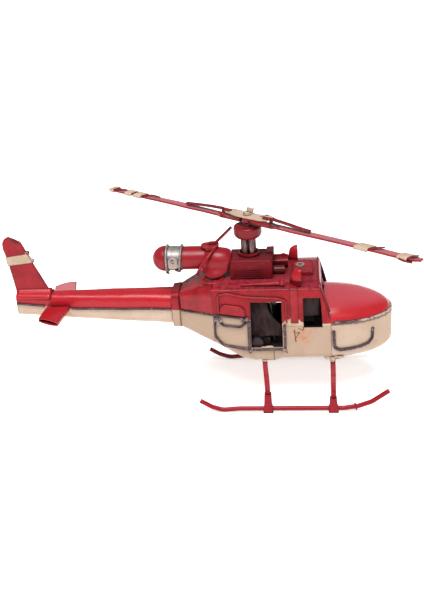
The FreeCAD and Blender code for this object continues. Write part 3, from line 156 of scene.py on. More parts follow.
class Paint:
    """A material's node tree, built a node at a time. All patterns use object coordinates."""

    def __init__(self, name):
        self.material = bpy.data.materials.new(name)
        self.material.use_nodes = True
        self.tree = self.material.node_tree
        self.shader = self.tree.nodes["Principled BSDF"]
        self.coords = self.tree.nodes.new("ShaderNodeTexCoord").outputs["Object"]

    def add(self, kind, inputs=None, **settings):
        """A node, with its inputs linked or set."""
        made = self.tree.nodes.new(kind)
        for key, value in settings.items():
            setattr(made, key, value)
        for key, value in (inputs or {}).items():
            if isinstance(value, bpy.types.NodeSocket):
                self.tree.links.new(value, made.inputs[key])
            else:
                made.inputs[key].default_value = value
        return made

    def noise(self, size_mm, detail=3.0, rough=0.5, distort=0.0, stretch=None, shift=0.0):
        """Clouds of about the given size. Shift moves to another part of the pattern."""
        place = self.coords
        if stretch or shift:
            place = self.add("ShaderNodeMapping", {"Vector": place, "Scale": stretch or (1, 1, 1),
                                                   "Location": (shift, shift, shift)}).outputs[0]
        made = self.add("ShaderNodeTexNoise", {
            "Vector": place, "Scale": 1000.0 / size_mm, "Detail": detail,
            "Roughness": rough, "Distortion": distort})
        return made.outputs["Fac"]

    def math(self, kind, first, second=0.5, clamp=False):
        made = self.add("ShaderNodeMath", {0: first, 1: second}, operation=kind, use_clamp=clamp)
        return made.outputs[0]

    def ramp(self, value, low, high, out_low=0.0, out_high=1.0, smooth=True):
        """The value, stretched from one range to another."""
        made = self.add("ShaderNodeMapRange", {"Value": value, "From Min": low, "From Max": high,
                                               "To Min": out_low, "To Max": out_high})
        made.interpolation_type = "SMOOTHSTEP" if smooth else "LINEAR"
        return made.outputs["Result"]

    def scale(self, value, factor):
        """The value times a factor."""
        return self.math("MULTIPLY", value, factor)

    def mix(self, amount, first, second):
        """The first colour, covered with the second by the amount."""
        made = self.add("ShaderNodeMix", {"Factor": amount}, data_type="RGBA", blend_type="MIX")
        for index, value in ((6, first), (7, second)):
            if isinstance(value, bpy.types.NodeSocket):
                self.tree.links.new(value, made.inputs[index])
            else:
                made.inputs[index].default_value = (*value, 1)
        return made.outputs[2]

    def tint(self, colour, over, amount, most):
        """The colour, covered with another by the amount, and never by more than the given most."""
        return self.mix(self.scale(amount, most), colour, over)

    def creases(self, reach_mm, low, high):
        """One in corners and where pieces meet, nought on open faces: the mask of painted shade, which also
        places the dark washing and dirt there.
        """
        shade = self.add("ShaderNodeAmbientOcclusion", {"Distance": reach_mm * MM}, samples=6)
        return self.ramp(shade.outputs["AO"], low, high, 1.0, 0.0)

    def edges(self):
        """One on folded and cut edges."""
        return self.add("ShaderNodeAttribute", attribute_name="edge").outputs["Fac"]

    def bump(self, height, strength, distance_mm, after=None):
        inputs = {"Height": height, "Strength": strength, "Distance": distance_mm * MM}
        if after:
            inputs["Normal"] = after
        return self.add("ShaderNodeBump", inputs).outputs[0]

    def dents(self, size_mm, strength=0.22):
        """The shallow unevenness of hand-beaten sheet."""
        return self.bump(self.noise(size_mm, 2, 0.5), strength, 0.9)

    def spot(self, centre_mm, radius_mm, squash=(1, 1, 1)):
        """One at the centre, falling to nought at the radius."""
        place = self.add("ShaderNodeVectorMath", {0: self.coords, 1: Vector(centre_mm) * MM},
                         operation="SUBTRACT").outputs[0]
        place = self.add("ShaderNodeVectorMath", {0: place, 1: squash}, operation="MULTIPLY").outputs[0]
        reach = self.add("ShaderNodeVectorMath", {0: place}, operation="LENGTH").outputs["Value"]
        return self.ramp(reach, 0.0, radius_mm * MM, 1.0, 0.0)

    def axis(self, index):
        """A coordinate in metres: X, Y or Z by number."""
        return self.add("ShaderNodeSeparateXYZ", {0: self.coords}).outputs[index]

    def upward(self, low, high):
        """One on faces that look up, nought on faces that look sideways or down: the mask of painted
        highlights on top faces.
        """
        facing = self.add("ShaderNodeNewGeometry").outputs["Normal"]
        level = self.add("ShaderNodeSeparateXYZ", {0: facing}).outputs[2]
        return self.ramp(level, low, high)

    def stroke(self, start_mm, end_mm, width_mm, waver_mm=0.0):
        """One along a painted or scratched line, seen from the side."""
        along = self.axis(0)
        height = self.axis(2)
        if waver_mm:
            shake = self.math("SUBTRACT", self.noise(2.6, 3, 0.6, shift=0.5), 0.5)
            along = self.math("ADD", along, self.math("MULTIPLY", shake, 2 * waver_mm * MM))
        run = Vector(end_mm) - Vector(start_mm)
        from_x = self.math("SUBTRACT", along, start_mm[0] * MM)
        from_z = self.math("SUBTRACT", height, start_mm[1] * MM)
        share = self.math("ADD", self.scale(from_x, run[0]), self.scale(from_z, run[1]))
        share = self.math("DIVIDE", share, run.length_squared * MM, clamp=True)
        off_x = self.math("SUBTRACT", from_x, self.scale(share, run[0] * MM))
        off_z = self.math("SUBTRACT", from_z, self.scale(share, run[1] * MM))
        off = self.math("ADD", self.math("POWER", off_x, 2), self.math("POWER", off_z, 2))
        off = self.math("SQRT", off)
        return self.ramp(off, 0.25 * width_mm * MM, 0.5 * width_mm * MM, 1.0, 0.0)

    def close(self, colour, rough, normal, gloss=0.5, coat=0.0, coat_rough=0.03, metal=0.0):
        """Joins the tree to the shader and returns the finished material."""
        sockets = {"Base Color": colour, "Roughness": rough, "Normal": normal, "Metallic": metal,
                   "Specular IOR Level": gloss, "Coat Weight": coat, "Coat Roughness": coat_rough}
        for key, value in sockets.items():
            if isinstance(value, bpy.types.NodeSocket):
                self.tree.links.new(value, self.shader.inputs[key])
            else:
                self.shader.inputs[key].default_value = value
        return self.material


def red_colour(paint, wash_and_shade=0.9):
    """Brushed red lacquer, darker in patches, washed dark on its edges, and in its creases washed dark and
    given painted shade.
    """
    tone = paint.ramp(paint.noise(17, 4, 0.55, 0.4), 0.33, 0.68)
    colour = paint.mix(tone, (0.225, 0.005, 0.009), (0.325, 0.009, 0.016))
    streak = paint.ramp(paint.noise(5.0, 6, 0.65, 0.6, stretch=(0.45, 1, 1)), 0.52, 0.78)
    colour = paint.tint(colour, (0.14, 0.004, 0.008), streak, 0.45)
    dust = paint.ramp(paint.noise(9.0, 5, 0.6, 0.2, shift=0.31), 0.50, 0.75)
    colour = paint.tint(colour, (0.38, 0.045, 0.058), dust, 0.28)
    flecks = paint.ramp(paint.noise(1.7, 2, 0.6, shift=0.7), 0.735, 0.78)
    colour = paint.tint(colour, (0.10, 0.008, 0.010), flecks, 0.55)
    patches = paint.ramp(paint.noise(6.0, 5, 0.6, 0.5, shift=0.13), 0.36, 0.62, 0.35, 1.0)
    edge = paint.scale(paint.edges(), patches)
    # Painted shade and the antique dark washing in corners and creases, by the given amount.
    corner = paint.creases(3.2, 0.36, 0.93)
    dark = paint.math("MAXIMUM", paint.scale(edge, 0.62), paint.scale(corner, wash_and_shade))
    colour = paint.mix(dark, colour, (0.050, 0.010, 0.010))
    return colour, dark


def red_gloss(name="red_gloss", wash_and_shade=0.9, pale=None, shade=None, coat=0.07, pale_side=False, gloss=0.2):
    """The red finish. Pale puts a painted highlight on the upward faces, or on only the left ones; shade
    mixes another red over all of it, giving some parts their own darker red and others lit or shaded
    copies, which are painted light and shade.
    """
    paint = Paint(name)
    colour, dark = red_colour(paint, wash_and_shade)
    # Another red over the finish: for the lit and shaded copies this is painted light and shade.
    if shade:
        colour = paint.mix(paint.scale(paint.math("SUBTRACT", 1.0, dark), 0.72), colour, shade)
    # Painted highlight on the faces that look up.
    if pale:
        share = paint.scale(paint.upward(0.72, 0.98), 0.62)
        if pale_side:
            share = paint.scale(share, paint.ramp(paint.axis(1), -6 * MM, 6 * MM))
        colour = paint.mix(share, colour, pale)
    rough = paint.ramp(paint.noise(8.0, 5, 0.6, shift=0.9), 0.3, 0.7, 0.24, 0.40, smooth=False)
    rough = paint.math("ADD", rough, paint.scale(dark, 0.25))
    normal = paint.bump(paint.noise(1.3, 4, 0.6), 0.12, 0.12, after=paint.dents(14))
    return paint.close(colour, rough, normal, gloss=gloss, coat=coat, coat_rough=0.2)


def cream_colour(paint):
    """Aged cream enamel, brown-washed, with rubbed edges and a few red specks, and darker in creases from
    brown washing and painted shade.
    """
    tone = paint.ramp(paint.noise(24, 4, 0.55, 0.5), 0.32, 0.68)
    colour = paint.mix(tone, (0.49, 0.355, 0.255), (0.54, 0.405, 0.315))
    tan = paint.ramp(paint.noise(7.5, 6, 0.62, 0.6, shift=0.21), 0.50, 0.78)
    colour = paint.tint(colour, (0.38, 0.235, 0.14), tan, 0.50)
    pink = paint.ramp(paint.noise(12, 3, 0.5, shift=0.55), 0.52, 0.72)
    colour = paint.tint(colour, (0.50, 0.30, 0.26), pink, 0.30)
    lines = paint.ramp(paint.noise(2.4, 6, 0.7, 1.1, stretch=(0.3, 1, 1), shift=0.4), 0.62, 0.70)
    colour = paint.tint(colour, (0.36, 0.22, 0.14), lines, 0.22)
    specks = paint.ramp(paint.noise(1.8, 1, 0.5, shift=0.66), 0.760, 0.79)
    colour = paint.tint(colour, (0.45, 0.05, 0.05), specks, 0.7)
    patches = paint.ramp(paint.noise(5.0, 5, 0.6, 0.5, shift=0.13), 0.36, 0.64, 0.15, 1.0)
    edge = paint.scale(paint.edges(), patches)
    # Painted shade and the brown washing in corners and creases.
    corner = paint.creases(2.2, 0.28, 0.86)
    dark = paint.math("MAXIMUM", paint.scale(edge, 0.55), paint.scale(corner, 0.85))
    colour = paint.mix(dark, colour, (0.13, 0.070, 0.045))
    return colour, dark


def cream_enamel(name="cream_enamel", marks=None, shade=0.0):
    """The cream finish. Marks is a function that paints stains over it, and shade darkens it all over:
    painted shade.
    """
    paint = Paint(name)
    colour, dark = cream_colour(paint)
    # Painted shade: the cream darkened all over by the given share.
    colour = paint.mix(shade, colour, (0.33, 0.215, 0.145))
    if marks:
        colour = marks(paint, colour)
    rough = paint.ramp(paint.noise(7.0, 5, 0.6, shift=0.9), 0.3, 0.7, 0.38, 0.55, smooth=False)
    normal = paint.bump(paint.noise(1.5, 5, 0.65), 0.16, 0.12, after=paint.dents(16, 0.25))
    return paint.close(colour, rough, normal, gloss=0.22, coat=0.05, coat_rough=0.3)


def tub_marks(paint, colour):
    """The crack with its rust stain, and the slit in the belly."""
    crack = paint.stroke(at(31.5, 61.6), at(32.4, 52.4), 1.15, 0.8)
    for start, end, width in (((31.6, 58.9), (35.0, 59.9), 1.0), ((35.2, 59.9), (33.4, 57.2), 0.9),
                              ((34.4, 63.2), (37.4, 61.4), 0.8), ((37.4, 61.4), (38.2, 64.4), 0.9),
                              ((30.2, 60.2), (32.2, 60.8), 0.8), ((32.6, 55.2), (33.6, 57.0), 0.7),
                              ((22.6, 46.0), (26.0, 43.2), 0.9), ((25.4, 46.8), (26.2, 42.8), 0.8)):
        crack = paint.math("MAXIMUM", crack, paint.stroke(at(*start), at(*end), width, 0.8))
    crack = paint.scale(crack, paint.ramp(paint.axis(1), -24 * MM, -27 * MM))
    slit = paint.stroke(at(16.5, 45.6), at(16.5, 34.0), 0.7)
    rust = paint.scale(paint.spot((AXIS_X + 39, -28, 57), 8.5, squash=(1, 0.2, 0.9)),
                      paint.ramp(paint.noise(3.6, 5, 0.65, 0.6, shift=0.8), 0.42, 0.66))
    seep = paint.scale(paint.spot((AXIS_X - 0.5, -28, 69.5), 4.6, squash=(1, 0.2, 0.6)),
                      paint.ramp(paint.noise(2.6, 5, 0.65, 0.6, shift=0.6), 0.38, 0.62))
    glow = paint.spot((AXIS_X + 36, -28, 58), 11, squash=(1, 0.2, 1))
    colour = paint.tint(colour, (0.48, 0.24, 0.13), glow, 0.35)
    colour = paint.tint(colour, (0.46, 0.14, 0.055), rust, 0.85)
    colour = paint.mix(seep, colour, (0.55, 0.16, 0.06))
    colour = paint.tint(colour, (0.075, 0.016, 0.012), crack, 0.85)
    return paint.mix(slit, colour, (0.05, 0.025, 0.022))


def pan_marks(paint, colour):
    """Brown drips under the rim wire."""
    height = paint.axis(2)
    fingers = paint.noise(2.6, 3, 0.7, 0.3, stretch=(1, 0.35, 0.12), shift=0.2)
    line = paint.math("ADD", height, paint.scale(fingers, 0.0034))
    drip = paint.ramp(line, 65.2 * MM, 66.6 * MM)
    return paint.mix(paint.scale(drip, 0.75), colour, (0.14, 0.055, 0.045))


def band_marks(paint, colour):
    """The fin band's tan, sunken middle."""
    middle = paint.spot((AXIS_X - 169.5, 0, 109.6), 8.6, squash=(0.88, 0.1, 2.3))
    return paint.mix(paint.scale(paint.ramp(middle, 0.05, 0.4), 0.8), colour, (0.42, 0.31, 0.20))


def red_above_cream():
    """The cabin's upper shell: red, with a painted highlight on the roof, painted shade along the roof's
    edge, and the tub's cream brushed over its lower front edge.
    """
    paint = Paint("red_above_cream")
    red, red_dark = red_colour(paint)
    cream, cream_dark = cream_colour(paint)
    along = paint.axis(0)
    height = paint.axis(2)
    fingers = paint.noise(1.9, 3, 0.7, 0.3, stretch=(1, 0.2, 0.16), shift=0.2)
    near_crack = paint.spot((64.5, -28, 67), 10.5, squash=(1, 0.2, 1))
    reach = paint.scale(fingers, paint.ramp(near_crack, 0.0, 0.8, 0.0014, 0.0098))
    line = paint.math("ADD", paint.math("SUBTRACT", height, reach), 0.0016)
    below = paint.ramp(line, 67.15 * MM, 67.45 * MM, 1.0, 0.0)
    front = paint.ramp(along, 55.2 * MM, 56.4 * MM)
    share = paint.scale(below, front)
    # Painted highlight on the roof's upward faces.
    roof = paint.scale(paint.upward(0.90, 1.0), 0.5)
    red = paint.mix(roof, red, (0.33, 0.045, 0.070))
    # Painted shade: a dashed dark line along the roof's edge that dims the highlight there.
    roof_edge_shade = paint.scale(paint.stroke(at(-34, 94.2), at(49, 94.2), 5.0, 0.8),
                       paint.ramp(paint.noise(3.4, 5, 0.6, 0.4, shift=0.2), 0.38, 0.60))
    red = paint.tint(red, (0.115, 0.006, 0.010), roof_edge_shade, 0.7)
    colour = paint.mix(share, red, cream)
    rough = paint.ramp(paint.noise(8.0, 5, 0.6, shift=0.9), 0.3, 0.7, 0.26, 0.42, smooth=False)
    rough = paint.math("ADD", rough, paint.scale(share, 0.14))
    step = paint.bump(share, 0.5, 0.15, after=paint.dents(14))
    normal = paint.bump(paint.noise(1.3, 4, 0.6), 0.12, 0.12, after=step)
    return paint.close(colour, rough, normal, gloss=0.15, coat=0.04, coat_rough=0.2)


def wire_metal(name="wire_metal", bare=0.57, pale_from=None):
    """Dark brown lacquered wire, worn to grey-cream, and chipped to cream beyond a given X in mm."""
    paint = Paint(name)
    tone = paint.ramp(paint.noise(4.0, 5, 0.6, 0.5), 0.35, 0.65)
    colour = paint.mix(tone, (0.034, 0.019, 0.024), (0.085, 0.056, 0.062))
    worn = paint.ramp(paint.noise(3.0, 5, 0.7, 0.8, shift=0.37), bare, bare + 0.13)
    colour = paint.tint(colour, (0.42, 0.34, 0.31), worn, 0.75)
    if pale_from:
        chips = paint.ramp(paint.noise(2.6, 5, 0.7, 0.6, shift=0.15), 0.40, 0.50)
        chips = paint.scale(chips, paint.ramp(paint.axis(0), pale_from * MM, (pale_from + 7) * MM))
        colour = paint.tint(colour, (0.52, 0.42, 0.34), chips, 0.9)
    # Painted shade in corners and creases.
    corner = paint.creases(1.2, 0.25, 0.75)
    colour = paint.tint(colour, (0.02, 0.012, 0.012), corner, 0.7)
    rough = paint.ramp(worn, 0.0, 1.0, 0.42, 0.30)
    normal = paint.bump(paint.noise(1.0, 5, 0.6), 0.35, 0.12)
    return paint.close(colour, rough, normal, gloss=0.3, metal=0.1)


def mast_metal():
    """Bare rods with cream and brown smears running down them."""
    paint = Paint("mast_metal")
    streaks = paint.ramp(paint.noise(2.2, 4, 0.6, 0.4, stretch=(1, 1, 0.22)), 0.40, 0.62)
    colour = paint.mix(streaks, (0.085, 0.022, 0.026), (0.25, 0.12, 0.115))
    cream = paint.ramp(paint.noise(3.2, 4, 0.7, 0.5, stretch=(1, 1, 0.35), shift=0.6), 0.56, 0.66)
    colour = paint.tint(colour, (0.44, 0.30, 0.255), cream, 0.7)
    # Painted shade in corners and creases.
    corner = paint.creases(2.6, 0.35, 0.9)
    colour = paint.mix(corner, colour, (0.030, 0.014, 0.013))
    normal = paint.bump(paint.noise(1.2, 5, 0.6), 0.3, 0.12)
    return paint.close(colour, 0.42, normal, metal=0.15)


def dark_cabin(name="dark_cabin", worn_share=0.35, gloss=0.3):
    """Near-black brown of the cabin's inner sheets and faces, with paler rubbed streaks; in the intakes'
    throats it is painted shade.
    """
    paint = Paint(name)
    tone = paint.ramp(paint.noise(9.0, 5, 0.6, 0.5, stretch=(1, 1, 0.5)), 0.35, 0.7)
    colour = paint.mix(tone, (0.012, 0.006, 0.007), (0.046, 0.026, 0.027))
    worn = paint.ramp(paint.noise(3.5, 6, 0.65, 0.6, shift=0.3), 0.60, 0.74)
    colour = paint.mix(paint.scale(worn, worn_share), colour, (0.12, 0.055, 0.050))
    normal = paint.bump(paint.noise(2.0, 5, 0.6), 0.25, 0.2)
    return paint.close(colour, 0.5, normal, gloss=gloss)


def worn_metal():
    """Dull pale metal, darker in the creases from dirt and painted shade."""
    paint = Paint("worn_metal")
    tone = paint.ramp(paint.noise(3.5, 6, 0.65, 0.5), 0.35, 0.68)
    colour = paint.mix(tone, (0.21, 0.185, 0.175), (0.37, 0.34, 0.32))
    smear = paint.ramp(paint.noise(2.0, 6, 0.7, 0.9, stretch=(0.5, 1, 1), shift=0.2), 0.56, 0.70)
    colour = paint.tint(colour, (0.13, 0.09, 0.085), smear, 0.55)
    # Painted shade and dirt in corners and creases, with darker edges.
    corner = paint.creases(1.6, 0.30, 0.82)
    dark = paint.math("MAXIMUM", corner, paint.scale(paint.edges(), 0.35))
    colour = paint.mix(dark, colour, (0.040, 0.022, 0.020))
    rough = paint.ramp(smear, 0.0, 1.0, 0.46, 0.6)
    normal = paint.bump(paint.noise(1.1, 5, 0.65), 0.3, 0.1)
    return paint.close(colour, rough, normal, metal=0.55)


# ---- hand-bent shapes

def sway(point):
    """How far a point of the hand-made sheet lies off its true place."""
    low = noise.noise_vector(point * 38.0 + Vector((3.1, 7.7, 1.9)))
    fine = noise.noise_vector(point * 110.0 + Vector((9.3, 2.2, 5.4)))
    return low * 0.00042 + fine * 0.00012


def smooth_step(value, low, high):
    """Nought below the range, one above it, and a smooth curve between."""
    share = min(max((value - low) / (high - low), 0.0), 1.0)
    return share * share * (3 - 2 * share)


def bent_airframe(point):
    """A point of the airframe, waved but for the skids' feet and both ends."""
    calm = smooth_step(point.z, 0.002, 0.012)
    calm *= smooth_step(abs(point.x), 0.1460, 0.1425)
    return point + sway(point) * calm


def bent_rotor(point):
    """A point of the rotor, waved but for the hub and the tips."""
    away = (Vector((point.x, point.y, 0.0)) - MAST_AXIS).length
    calm = smooth_step(away, 0.012, 0.030) * smooth_step(away, 0.1330, 0.1280)
    return point + sway(point) * calm


def mark_edges(mesh, sharp_angle):
    """Stores how near each vertex is to a folded or cut edge, for the paint to read."""
    made = bmesh.new()
    made.from_mesh(mesh)
    flags = [0.0] * len(made.verts)
    made.verts.index_update()
    for edge in made.edges:
        if len(edge.link_faces) == 2 and edge.calc_face_angle(0.0) > sharp_angle:
            for vertex in edge.verts:
                flags[vertex.index] = 1.0
    made.free()
    layer = mesh.attributes.new("edge", "FLOAT", "POINT")
    layer.data.foreach_set("value", flags)


def split_long_edges(made, spacing):
    """Cuts the faces up, so that they can be bent."""
    for _ in range(9):
        long = [e for e in made.edges if e.calc_length() > spacing]
        if not long:
            break
        bmesh.ops.subdivide_edges(made, edges=long, cuts=1, use_grid_fill=True)
        bmesh.ops.triangulate(made, faces=[f for f in made.faces if len(f.verts) > 3])


def to_object(name, made, body, material, sharp):
    """Turns the shape into an object that rides on a body, smooth but for its folds and cuts."""
    mesh = bpy.data.meshes.new(name)
    made.to_mesh(mesh)
    made.free()
    for polygon in mesh.polygons:
        polygon.use_smooth = True
    mesh.set_sharp_from_angle(angle=math.radians(sharp))
    mark_edges(mesh, math.radians(sharp))
    mesh.materials.append(material)
    thing = bpy.data.objects.new(name, mesh)
    bpy.context.scene.collection.objects.link(thing)
    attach(thing, body)
    return thing


def bend(node, body, material, move=None, inner=None):
    """A copy of a CAD node with the slight waves of hand-bent metal, which replaces it.

    Move is the node's own change of shape. Inner is the finish of faces that look into the cabin.
    """
    made = bmesh.new()
    made.from_mesh(frame["nodes"][node].data)
    bmesh.ops.remove_doubles(made, verts=made.verts, dist=0.004 * MM)
    split_long_edges(made, 2.0 * MM)
    made.normal_update()
    inside = [face.normal.dot(CABIN_MIDDLE - face.calc_center_median()) > 4 * MM for face in made.faces]
    shift = move or (bent_rotor if body == ROTOR else bent_airframe)
    for vertex in made.verts:
        vertex.co = shift(vertex.co)
    formed = to_object(node + "_formed", made, body, material, SHEET_FOLD)
    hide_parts(node)
    if inner:
        formed.data.materials.append(inner)
        for polygon, hidden in zip(formed.data.polygons, inside):
            polygon.material_index = int(hidden)


def node_slot(node):
    """The material slot that the record gives a CAD node."""
    return next(part["material_slot"] for part in frame["record"]["subparts"] if part["node"] == node)


def repaint(node, material):
    """Gives a CAD node that keeps its shape its finish."""
    for entry in frame["nodes"][node].material_slots:
        entry.material = material


# ---- pieces made here

def smooth_path(points, steps=6):
    """A curve through the points."""
    path = []
    for index in range(len(points) - 1):
        a = points[max(index - 1, 0)]
        b = points[index]
        c = points[index + 1]
        d = points[min(index + 2, len(points) - 1)]
        for step in range(steps):
            t = step / steps
            path.append(0.5 * ((2 * b) + (c - a) * t + (2 * a - 5 * b + 4 * c - d) * t * t
                               + (3 * b - a - 3 * c + d) * t ** 3))
    path.append(points[-1].copy())
    return path


def route(*places):
    """A curve through places given in mm from the mast's axis."""
    return smooth_path([spot_at(*place) for place in places])


def sweep(made, path, wide, high, up=Vector((0, 0, 1)), sides=12, flat=1.0, closed=False, rough_mm=0.06):
    """A wire or strap along a path. Wide and high are half sizes in mm, single or one at each end."""
    wide = wide if isinstance(wide, (list, tuple)) else (wide, wide)
    high = high if isinstance(high, (list, tuple)) else (high, high)
    rings = []
    count = len(path)
    for index, point in enumerate(path):
        if closed:
            ahead = (path[(index + 1) % count] - path[index - 1]).normalized()
        else:
            ahead = (path[min(index + 1, count - 1)] - path[max(index - 1, 0)]).normalized()
        across = ahead.cross(up).normalized()
        rise = across.cross(ahead)
        share = index / (count - 1) * (len(wide) - 1)
        lower = min(int(share), len(wide) - 2)
        half_wide = wide[lower] + (wide[lower + 1] - wide[lower]) * (share - lower)
        half_high = high[lower] + (high[lower + 1] - high[lower]) * (share - lower)
        ring = []
        for step in range(sides):
            angle = 2 * math.pi * (step + 0.5) / sides
            across_share = math.copysign(abs(math.cos(angle)) ** flat, math.cos(angle))
            rise_share = math.copysign(abs(math.sin(angle)) ** flat, math.sin(angle))
            place = point + (across * half_wide * across_share + rise * half_high * rise_share) * MM
            place += noise.noise_vector(place * 420) * rough_mm * MM
            ring.append(made.verts.new(place))
        rings.append(ring)
    pairs = list(zip(rings, rings[1:]))
    if closed:
        pairs.append((rings[-1], rings[0]))
    for first, second in pairs:
        for step in range(sides):
            other = (step + 1) % sides
            made.faces.new((first[step], first[other], second[other], second[step]))
    if not closed:
        for ring, ahead in ((rings[0], path[0] - path[1]), (rings[-1], path[-1] - path[-2])):
            centre = sum((vertex.co for vertex in ring), Vector()) / sides
            reach = min(wide[0], high[0]) * 0.35 * MM
            tip = made.verts.new(centre + ahead.normalized() * reach)
            for step in range(sides):
                made.faces.new((ring[step], ring[(step + 1) % sides], tip))


def lump(made, centre, sizes_mm, seed, rough):
    """A drop of solder or paint: a ball pushed out of shape."""
    for vertex in bmesh.ops.create_icosphere(made, subdivisions=3, radius=1.0)["verts"]:
        swell = 1 + rough * noise.noise(vertex.co * 1.7 + Vector((seed, seed * 2, 1.3)))
        swell += 0.3 * rough * noise.noise(vertex.co * 5.1 + Vector((seed, 0.4, seed)))
        vertex.co = centre + vertex.co * Vector(sizes_mm) * swell * MM


def rim(grid):
    """The points round the edge of a grid, in order."""
    down = [row[-1] for row in grid[1:]]
    back_up = [row[0] for row in grid[-2:0:-1]]
    return grid[0] + down + grid[-1][-2::-1] + back_up


def sheet(made, rows, thick_mm):
    """A thin closed sheet with rows of points along its middle."""
    last_row = len(rows) - 1
    last = len(rows[0]) - 1
    faces = ([], [])
    for index, row in enumerate(rows):
        sides = ([], [])
        for step, point in enumerate(row):
            along = row[min(step + 1, last)] - row[max(step - 1, 0)]
            down = rows[min(index + 1, last_row)][step] - rows[max(index - 1, 0)][step]
            away = along.cross(down).normalized() * 0.5 * thick_mm * MM
            sides[0].append(made.verts.new(point + away))
            sides[1].append(made.verts.new(point - away))
        faces[0].append(sides[0])
        faces[1].append(sides[1])
    for grid in faces:
        for first, second in zip(grid, grid[1:]):
            for a, b, c, d in zip(first, first[1:], second[1:], second):
                made.faces.new((a, b, c, d))
    front = rim(faces[0])
    back = rim(faces[1])
    for step in range(len(front)):
        other = (step + 1) % len(front)
        made.faces.new((front[step], front[other], back[other], back[step]))


def piece(name, made, material, sharp=40, instead_of=None, body=AIRFRAME):
    """A piece made here, which may stand in for a CAD node."""
    bmesh.ops.recalc_face_normals(made, faces=made.faces)
    thing = to_object(name, made, body, material, sharp)
    if instead_of:
        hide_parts(instead_of)


def turns(count):
    """Even angles once round."""
    return [2 * math.pi * step / count for step in range(count)]


def exhaust_rings():
    """The two wires twisted round the silver band, with their cut ends under it."""
    made = bmesh.new()
    for centre_x, radius, lean, half in ((-59.0, 9.7, 0.01, 0.85), (-49.3, 9.6, 0.13, 0.8)):
        path = []
        for angle in turns(48):
            rise = radius * math.cos(angle)
            path.append(spot_at(centre_x + lean * rise, radius * math.sin(angle), EXHAUST_Z + rise))
        sweep(made, path, half, half, up=Vector((1, 0, 0)), closed=True, rough_mm=0.15)
    piece("exhaust_rings", made, METAL, instead_of="band_rings")
    made = bmesh.new()
    for points, half in (
            (((-59.2, -6.4, 99.6), (-58.8, -6.0, 98.4), (-57.6, -6.6, 98.1)), (1.2, 0.9, 0.5)),
            (((-52.6, -8.0, 101.6), (-51.6, -7.4, 100.4), (-50.6, -6.8, 99.4)), (1.0, 0.7, 0.45))):
        sweep(made, route(*points), half, half, rough_mm=0.3)
    piece("ring_ends", made, WIRE)


def band_tab():
    """The cream tab that hugs the silver band under its eyelet."""
    radius = 9.15
    made = bmesh.new()
    rows = []
    for across in range(9):
        share = across / 8
        rounded = 4.2 * abs(2 * share - 1) ** 3
        row = []
        for down in range(9):
            angle = math.radians(12 - rounded * 3.0 - (46 - rounded * 6.0) * down / 8)
            row.append(spot_at(-57.6 + 7.0 * share, -radius * math.cos(angle),
                               EXHAUST_Z + radius * math.sin(angle)))
        rows.append(row)
    sheet(made, rows, 0.45)
    piece("band_tab", made, CREAM)


def elbow():
    """The fat elbow that turns the exhaust down to the roof, with the flange under it."""
    sides = 40
    made = bmesh.new()
    stations = ((-34.0, 7.8), (-31.0, 8.9), (-28.0, 9.4), (-24.0, 9.7), (-20.0, 9.5), (-16.0, 8.9),
                (-13.4, 7.9), (-12.3, 6.6), (-12.1, 4.0), (-12.0, 0.6))
    rows = []
    for along, radius in stations:
        row = []
        for angle in turns(sides):
            across = ELBOW_Y * smooth_step(along, -34.0, -24.0) + radius * 0.98 * math.sin(angle)
            height = ELBOW_Z + radius * math.cos(angle)
            drawn = smooth_step(105.0 - height, 0.0, 8.6)
            place = along + (-30.0 - along) * 0.34 * drawn
            row.append(spot_at(place, across - 8.6 * drawn, height - 0.6 * drawn))
        rows.append(row)
    grid = [[made.verts.new(point) for point in row] for row in rows]
    for first, second in zip(grid, grid[1:]):
        for step in range(sides):
            other = (step + 1) % sides
            made.faces.new((first[step], first[other], second[other], second[step]))
    made.faces.new(grid[0])
    made.faces.new(grid[-1])
    piece("elbow_formed", made, RED_CLEAN, instead_of="exhaust_elbow")
    made = bmesh.new()
    path = []
    for angle in turns(sides):
        path.append(spot_at(-26.0 + 6.6 * math.cos(angle), -14.4 + 4.8 * math.sin(angle),
                            96.2 + 0.8 * math.sin(angle)))
    sweep(made, path, 1.5, 1.0, closed=True, rough_mm=0.12)
    piece("flange_formed", made, RED, instead_of="elbow_flange")


def elbow_ribbon():
    """The strap wound round the elbow and its flat loop on top."""
    made = bmesh.new()
    path = []
    for step in range(13):
        turn = math.radians(-92 + 13 * step)
        radius = 10.7 - 0.5 * step / 12
        across = ELBOW_Y - radius * math.cos(turn)
        height = ELBOW_Z - radius * math.sin(turn)
        share = (117.3 - height - 0.49 * (across + 8.5)) / 17.1
        path.append(spot_at(-24.0 - 11.4 * share, across, height))
    sweep(made, smooth_path(path, 4), (0.9, 1.3, 1.3, 1.0), (0.8, 1.05, 1.05, 0.8), rough_mm=0.15)
    loop = []
    for angle in turns(36):
        loop.append(spot_at(-27.4 + 5.5 * math.cos(angle), -2.4 + 3.6 * math.sin(angle),
                            117.5 + 0.9 * math.cos(angle) * math.sin(angle)))
    sweep(made, loop, 1.15, 1.6, flat=0.8, closed=True, rough_mm=0.35)
    knot = route((-30.6, -5.4, 117.0), (-28.0, -6.6, 116.0), (-24.6, -6.4, 117.2), (-22.0, -4.8, 118.2))
    sweep(made, knot, (0.7, 1.0, 0.7), (0.7, 0.9, 0.7), rough_mm=0.2)
    piece("elbow_ribbon", made, RED, instead_of="elbow_wrap")


def scoop_narrowing(level):
    """How much narrower an intake is at a height over the roof."""
    return max(1 - min(level / SCOOP_HIGH, 1.0) ** 3.4, 0.015) ** (1 / 2.4)


